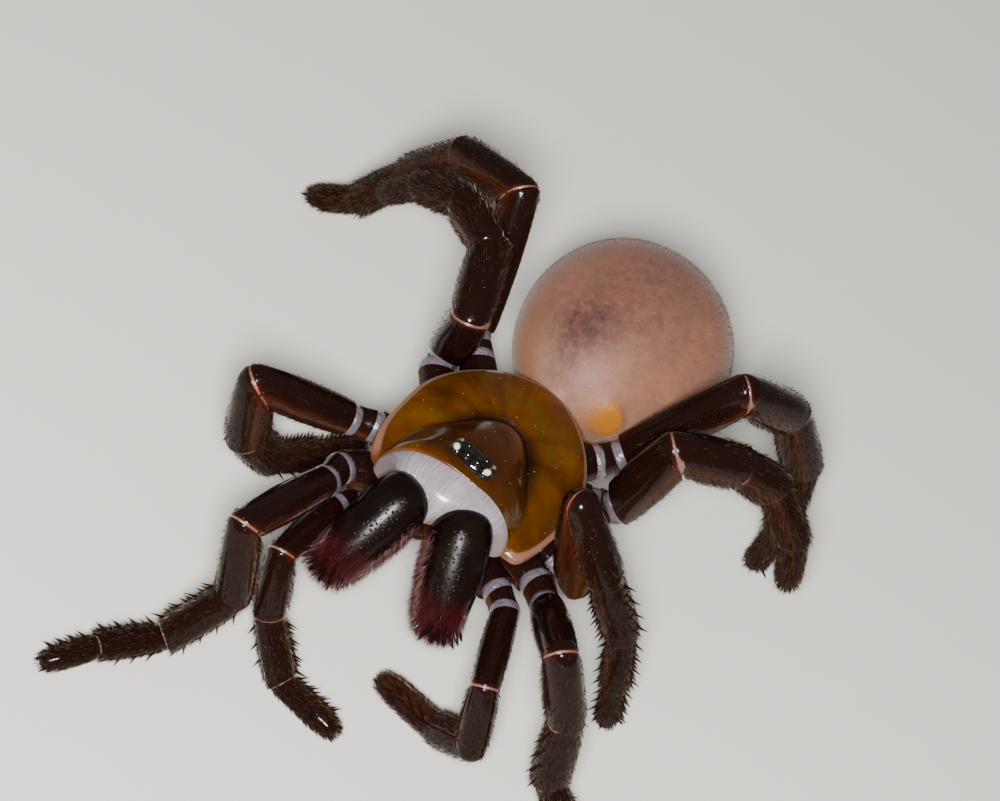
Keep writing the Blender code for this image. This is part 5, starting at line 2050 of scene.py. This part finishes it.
class SPIDER_OT_sternum(SpiderStep, bpy.types.Operator):
    """Builds the plate between the legs and its lip"""
    bl_idname = "spider.sternum"
    bl_label = "Sternum"

    def make(self, settings):
        make_sternum(settings.shell)


class SPIDER_OT_abdomen(SpiderStep, bpy.types.Operator):
    """Builds the abdomen with its waist, and the spinnerets"""
    bl_idname = "spider.abdomen"
    bl_label = "Abdomen"

    def make(self, settings):
        velvet = abdomen_skin(settings.skin)
        make_abdomen(velvet)
        make_spinnerets(velvet)


class SPIDER_OT_limbs(SpiderStep, bpy.types.Operator):
    """Builds every palp and leg with claws, side spines and hinge knobs"""
    bl_idname = "spider.limbs"
    bl_label = "Palps and legs"

    def make(self, settings):
        cuticle = leg_cuticle(settings.shell)
        soft = soft_membrane(settings.skin)
        for name in POSE:
            make_limb(name, settings.shell.lip, cuticle, soft)
        make_claws(cuticle)
        make_side_spines(cuticle)
        make_knee_knobs(cuticle)


class SPIDER_OT_coat(SpiderStep, bpy.types.Operator):
    """Grows the bristles of the limbs, jaws and body"""
    bl_idname = "spider.coat"
    bl_label = "Bristles"

    def make(self, settings):
        bristle = settings.bristle
        horn = bristle_horn("bristle", bristle.dark, bristle.light, 0.24)
        red_horn = bristle_horn("red bristle", bristle.red, linear(RED_BRISTLE_TIP), 0.3)
        down = bristle_horn("fine down", linear(DOWN_ROOT), bristle.down, 0.4)
        for name in POSE:
            grow_coat(name + "_shells", bristle, horn, "bristly foot cuticle")
        for side_name in CHELICERA_POSE:
            grow_coat("chelicera_shell_" + side_name, bristle, red_horn, "chelicera cuticle", 0.7)
        grow_coat("sternum_plate", bristle, horn, "leg cuticle")
        grow_coat("abdomen_sac", bristle, down, "abdomen skin", 0.6)
        grow_coat("spinneret_skins", bristle, down, "abdomen skin", 0.7)
        bpy.data.objects.remove(bpy.data.objects["bristle_stamp"], do_unlink=True)
        drop_coat_fields()


STEPS = (
    SPIDER_OT_stage, SPIDER_OT_carapace, SPIDER_OT_eyes, SPIDER_OT_soft_front, SPIDER_OT_jaws,
    SPIDER_OT_sternum, SPIDER_OT_abdomen, SPIDER_OT_limbs, SPIDER_OT_coat)


class SPIDER_PT_panel(bpy.types.Panel):
    """Lists the spider's pieces in the order in which they are built"""
    bl_idname = "SPIDER_PT_panel"
    bl_label = "Trapdoor spider"
    bl_space_type = "VIEW_3D"
    bl_region_type = "UI"
    bl_category = "Spider"

    def draw(self, context):
        settings = context.scene.trapdoor_spider
        for step in STEPS:
            self.layout.operator(step.bl_idname)
        for group in (settings.stage, settings.shell, settings.skin, settings.bristle):
            box = self.layout.box()
            for key in type(group).__annotations__:
                box.prop(group, key)


CLASSES = (
    StageSettings, ShellSettings, SkinSettings, BristleSettings, SpiderSettings, *STEPS,
    SPIDER_PT_panel)


def register():
    for cls in CLASSES:
        bpy.utils.register_class(cls)
    bpy.types.Scene.trapdoor_spider = PointerProperty(type=SpiderSettings)


def unregister():
    del bpy.types.Scene.trapdoor_spider
    for cls in reversed(CLASSES):
        bpy.utils.unregister_class(cls)


def main():
    register()
    for step in STEPS:
        group, action = step.bl_idname.split(".")
        getattr(getattr(bpy.ops, group), action)()


if __name__ == "__main__":
    main()
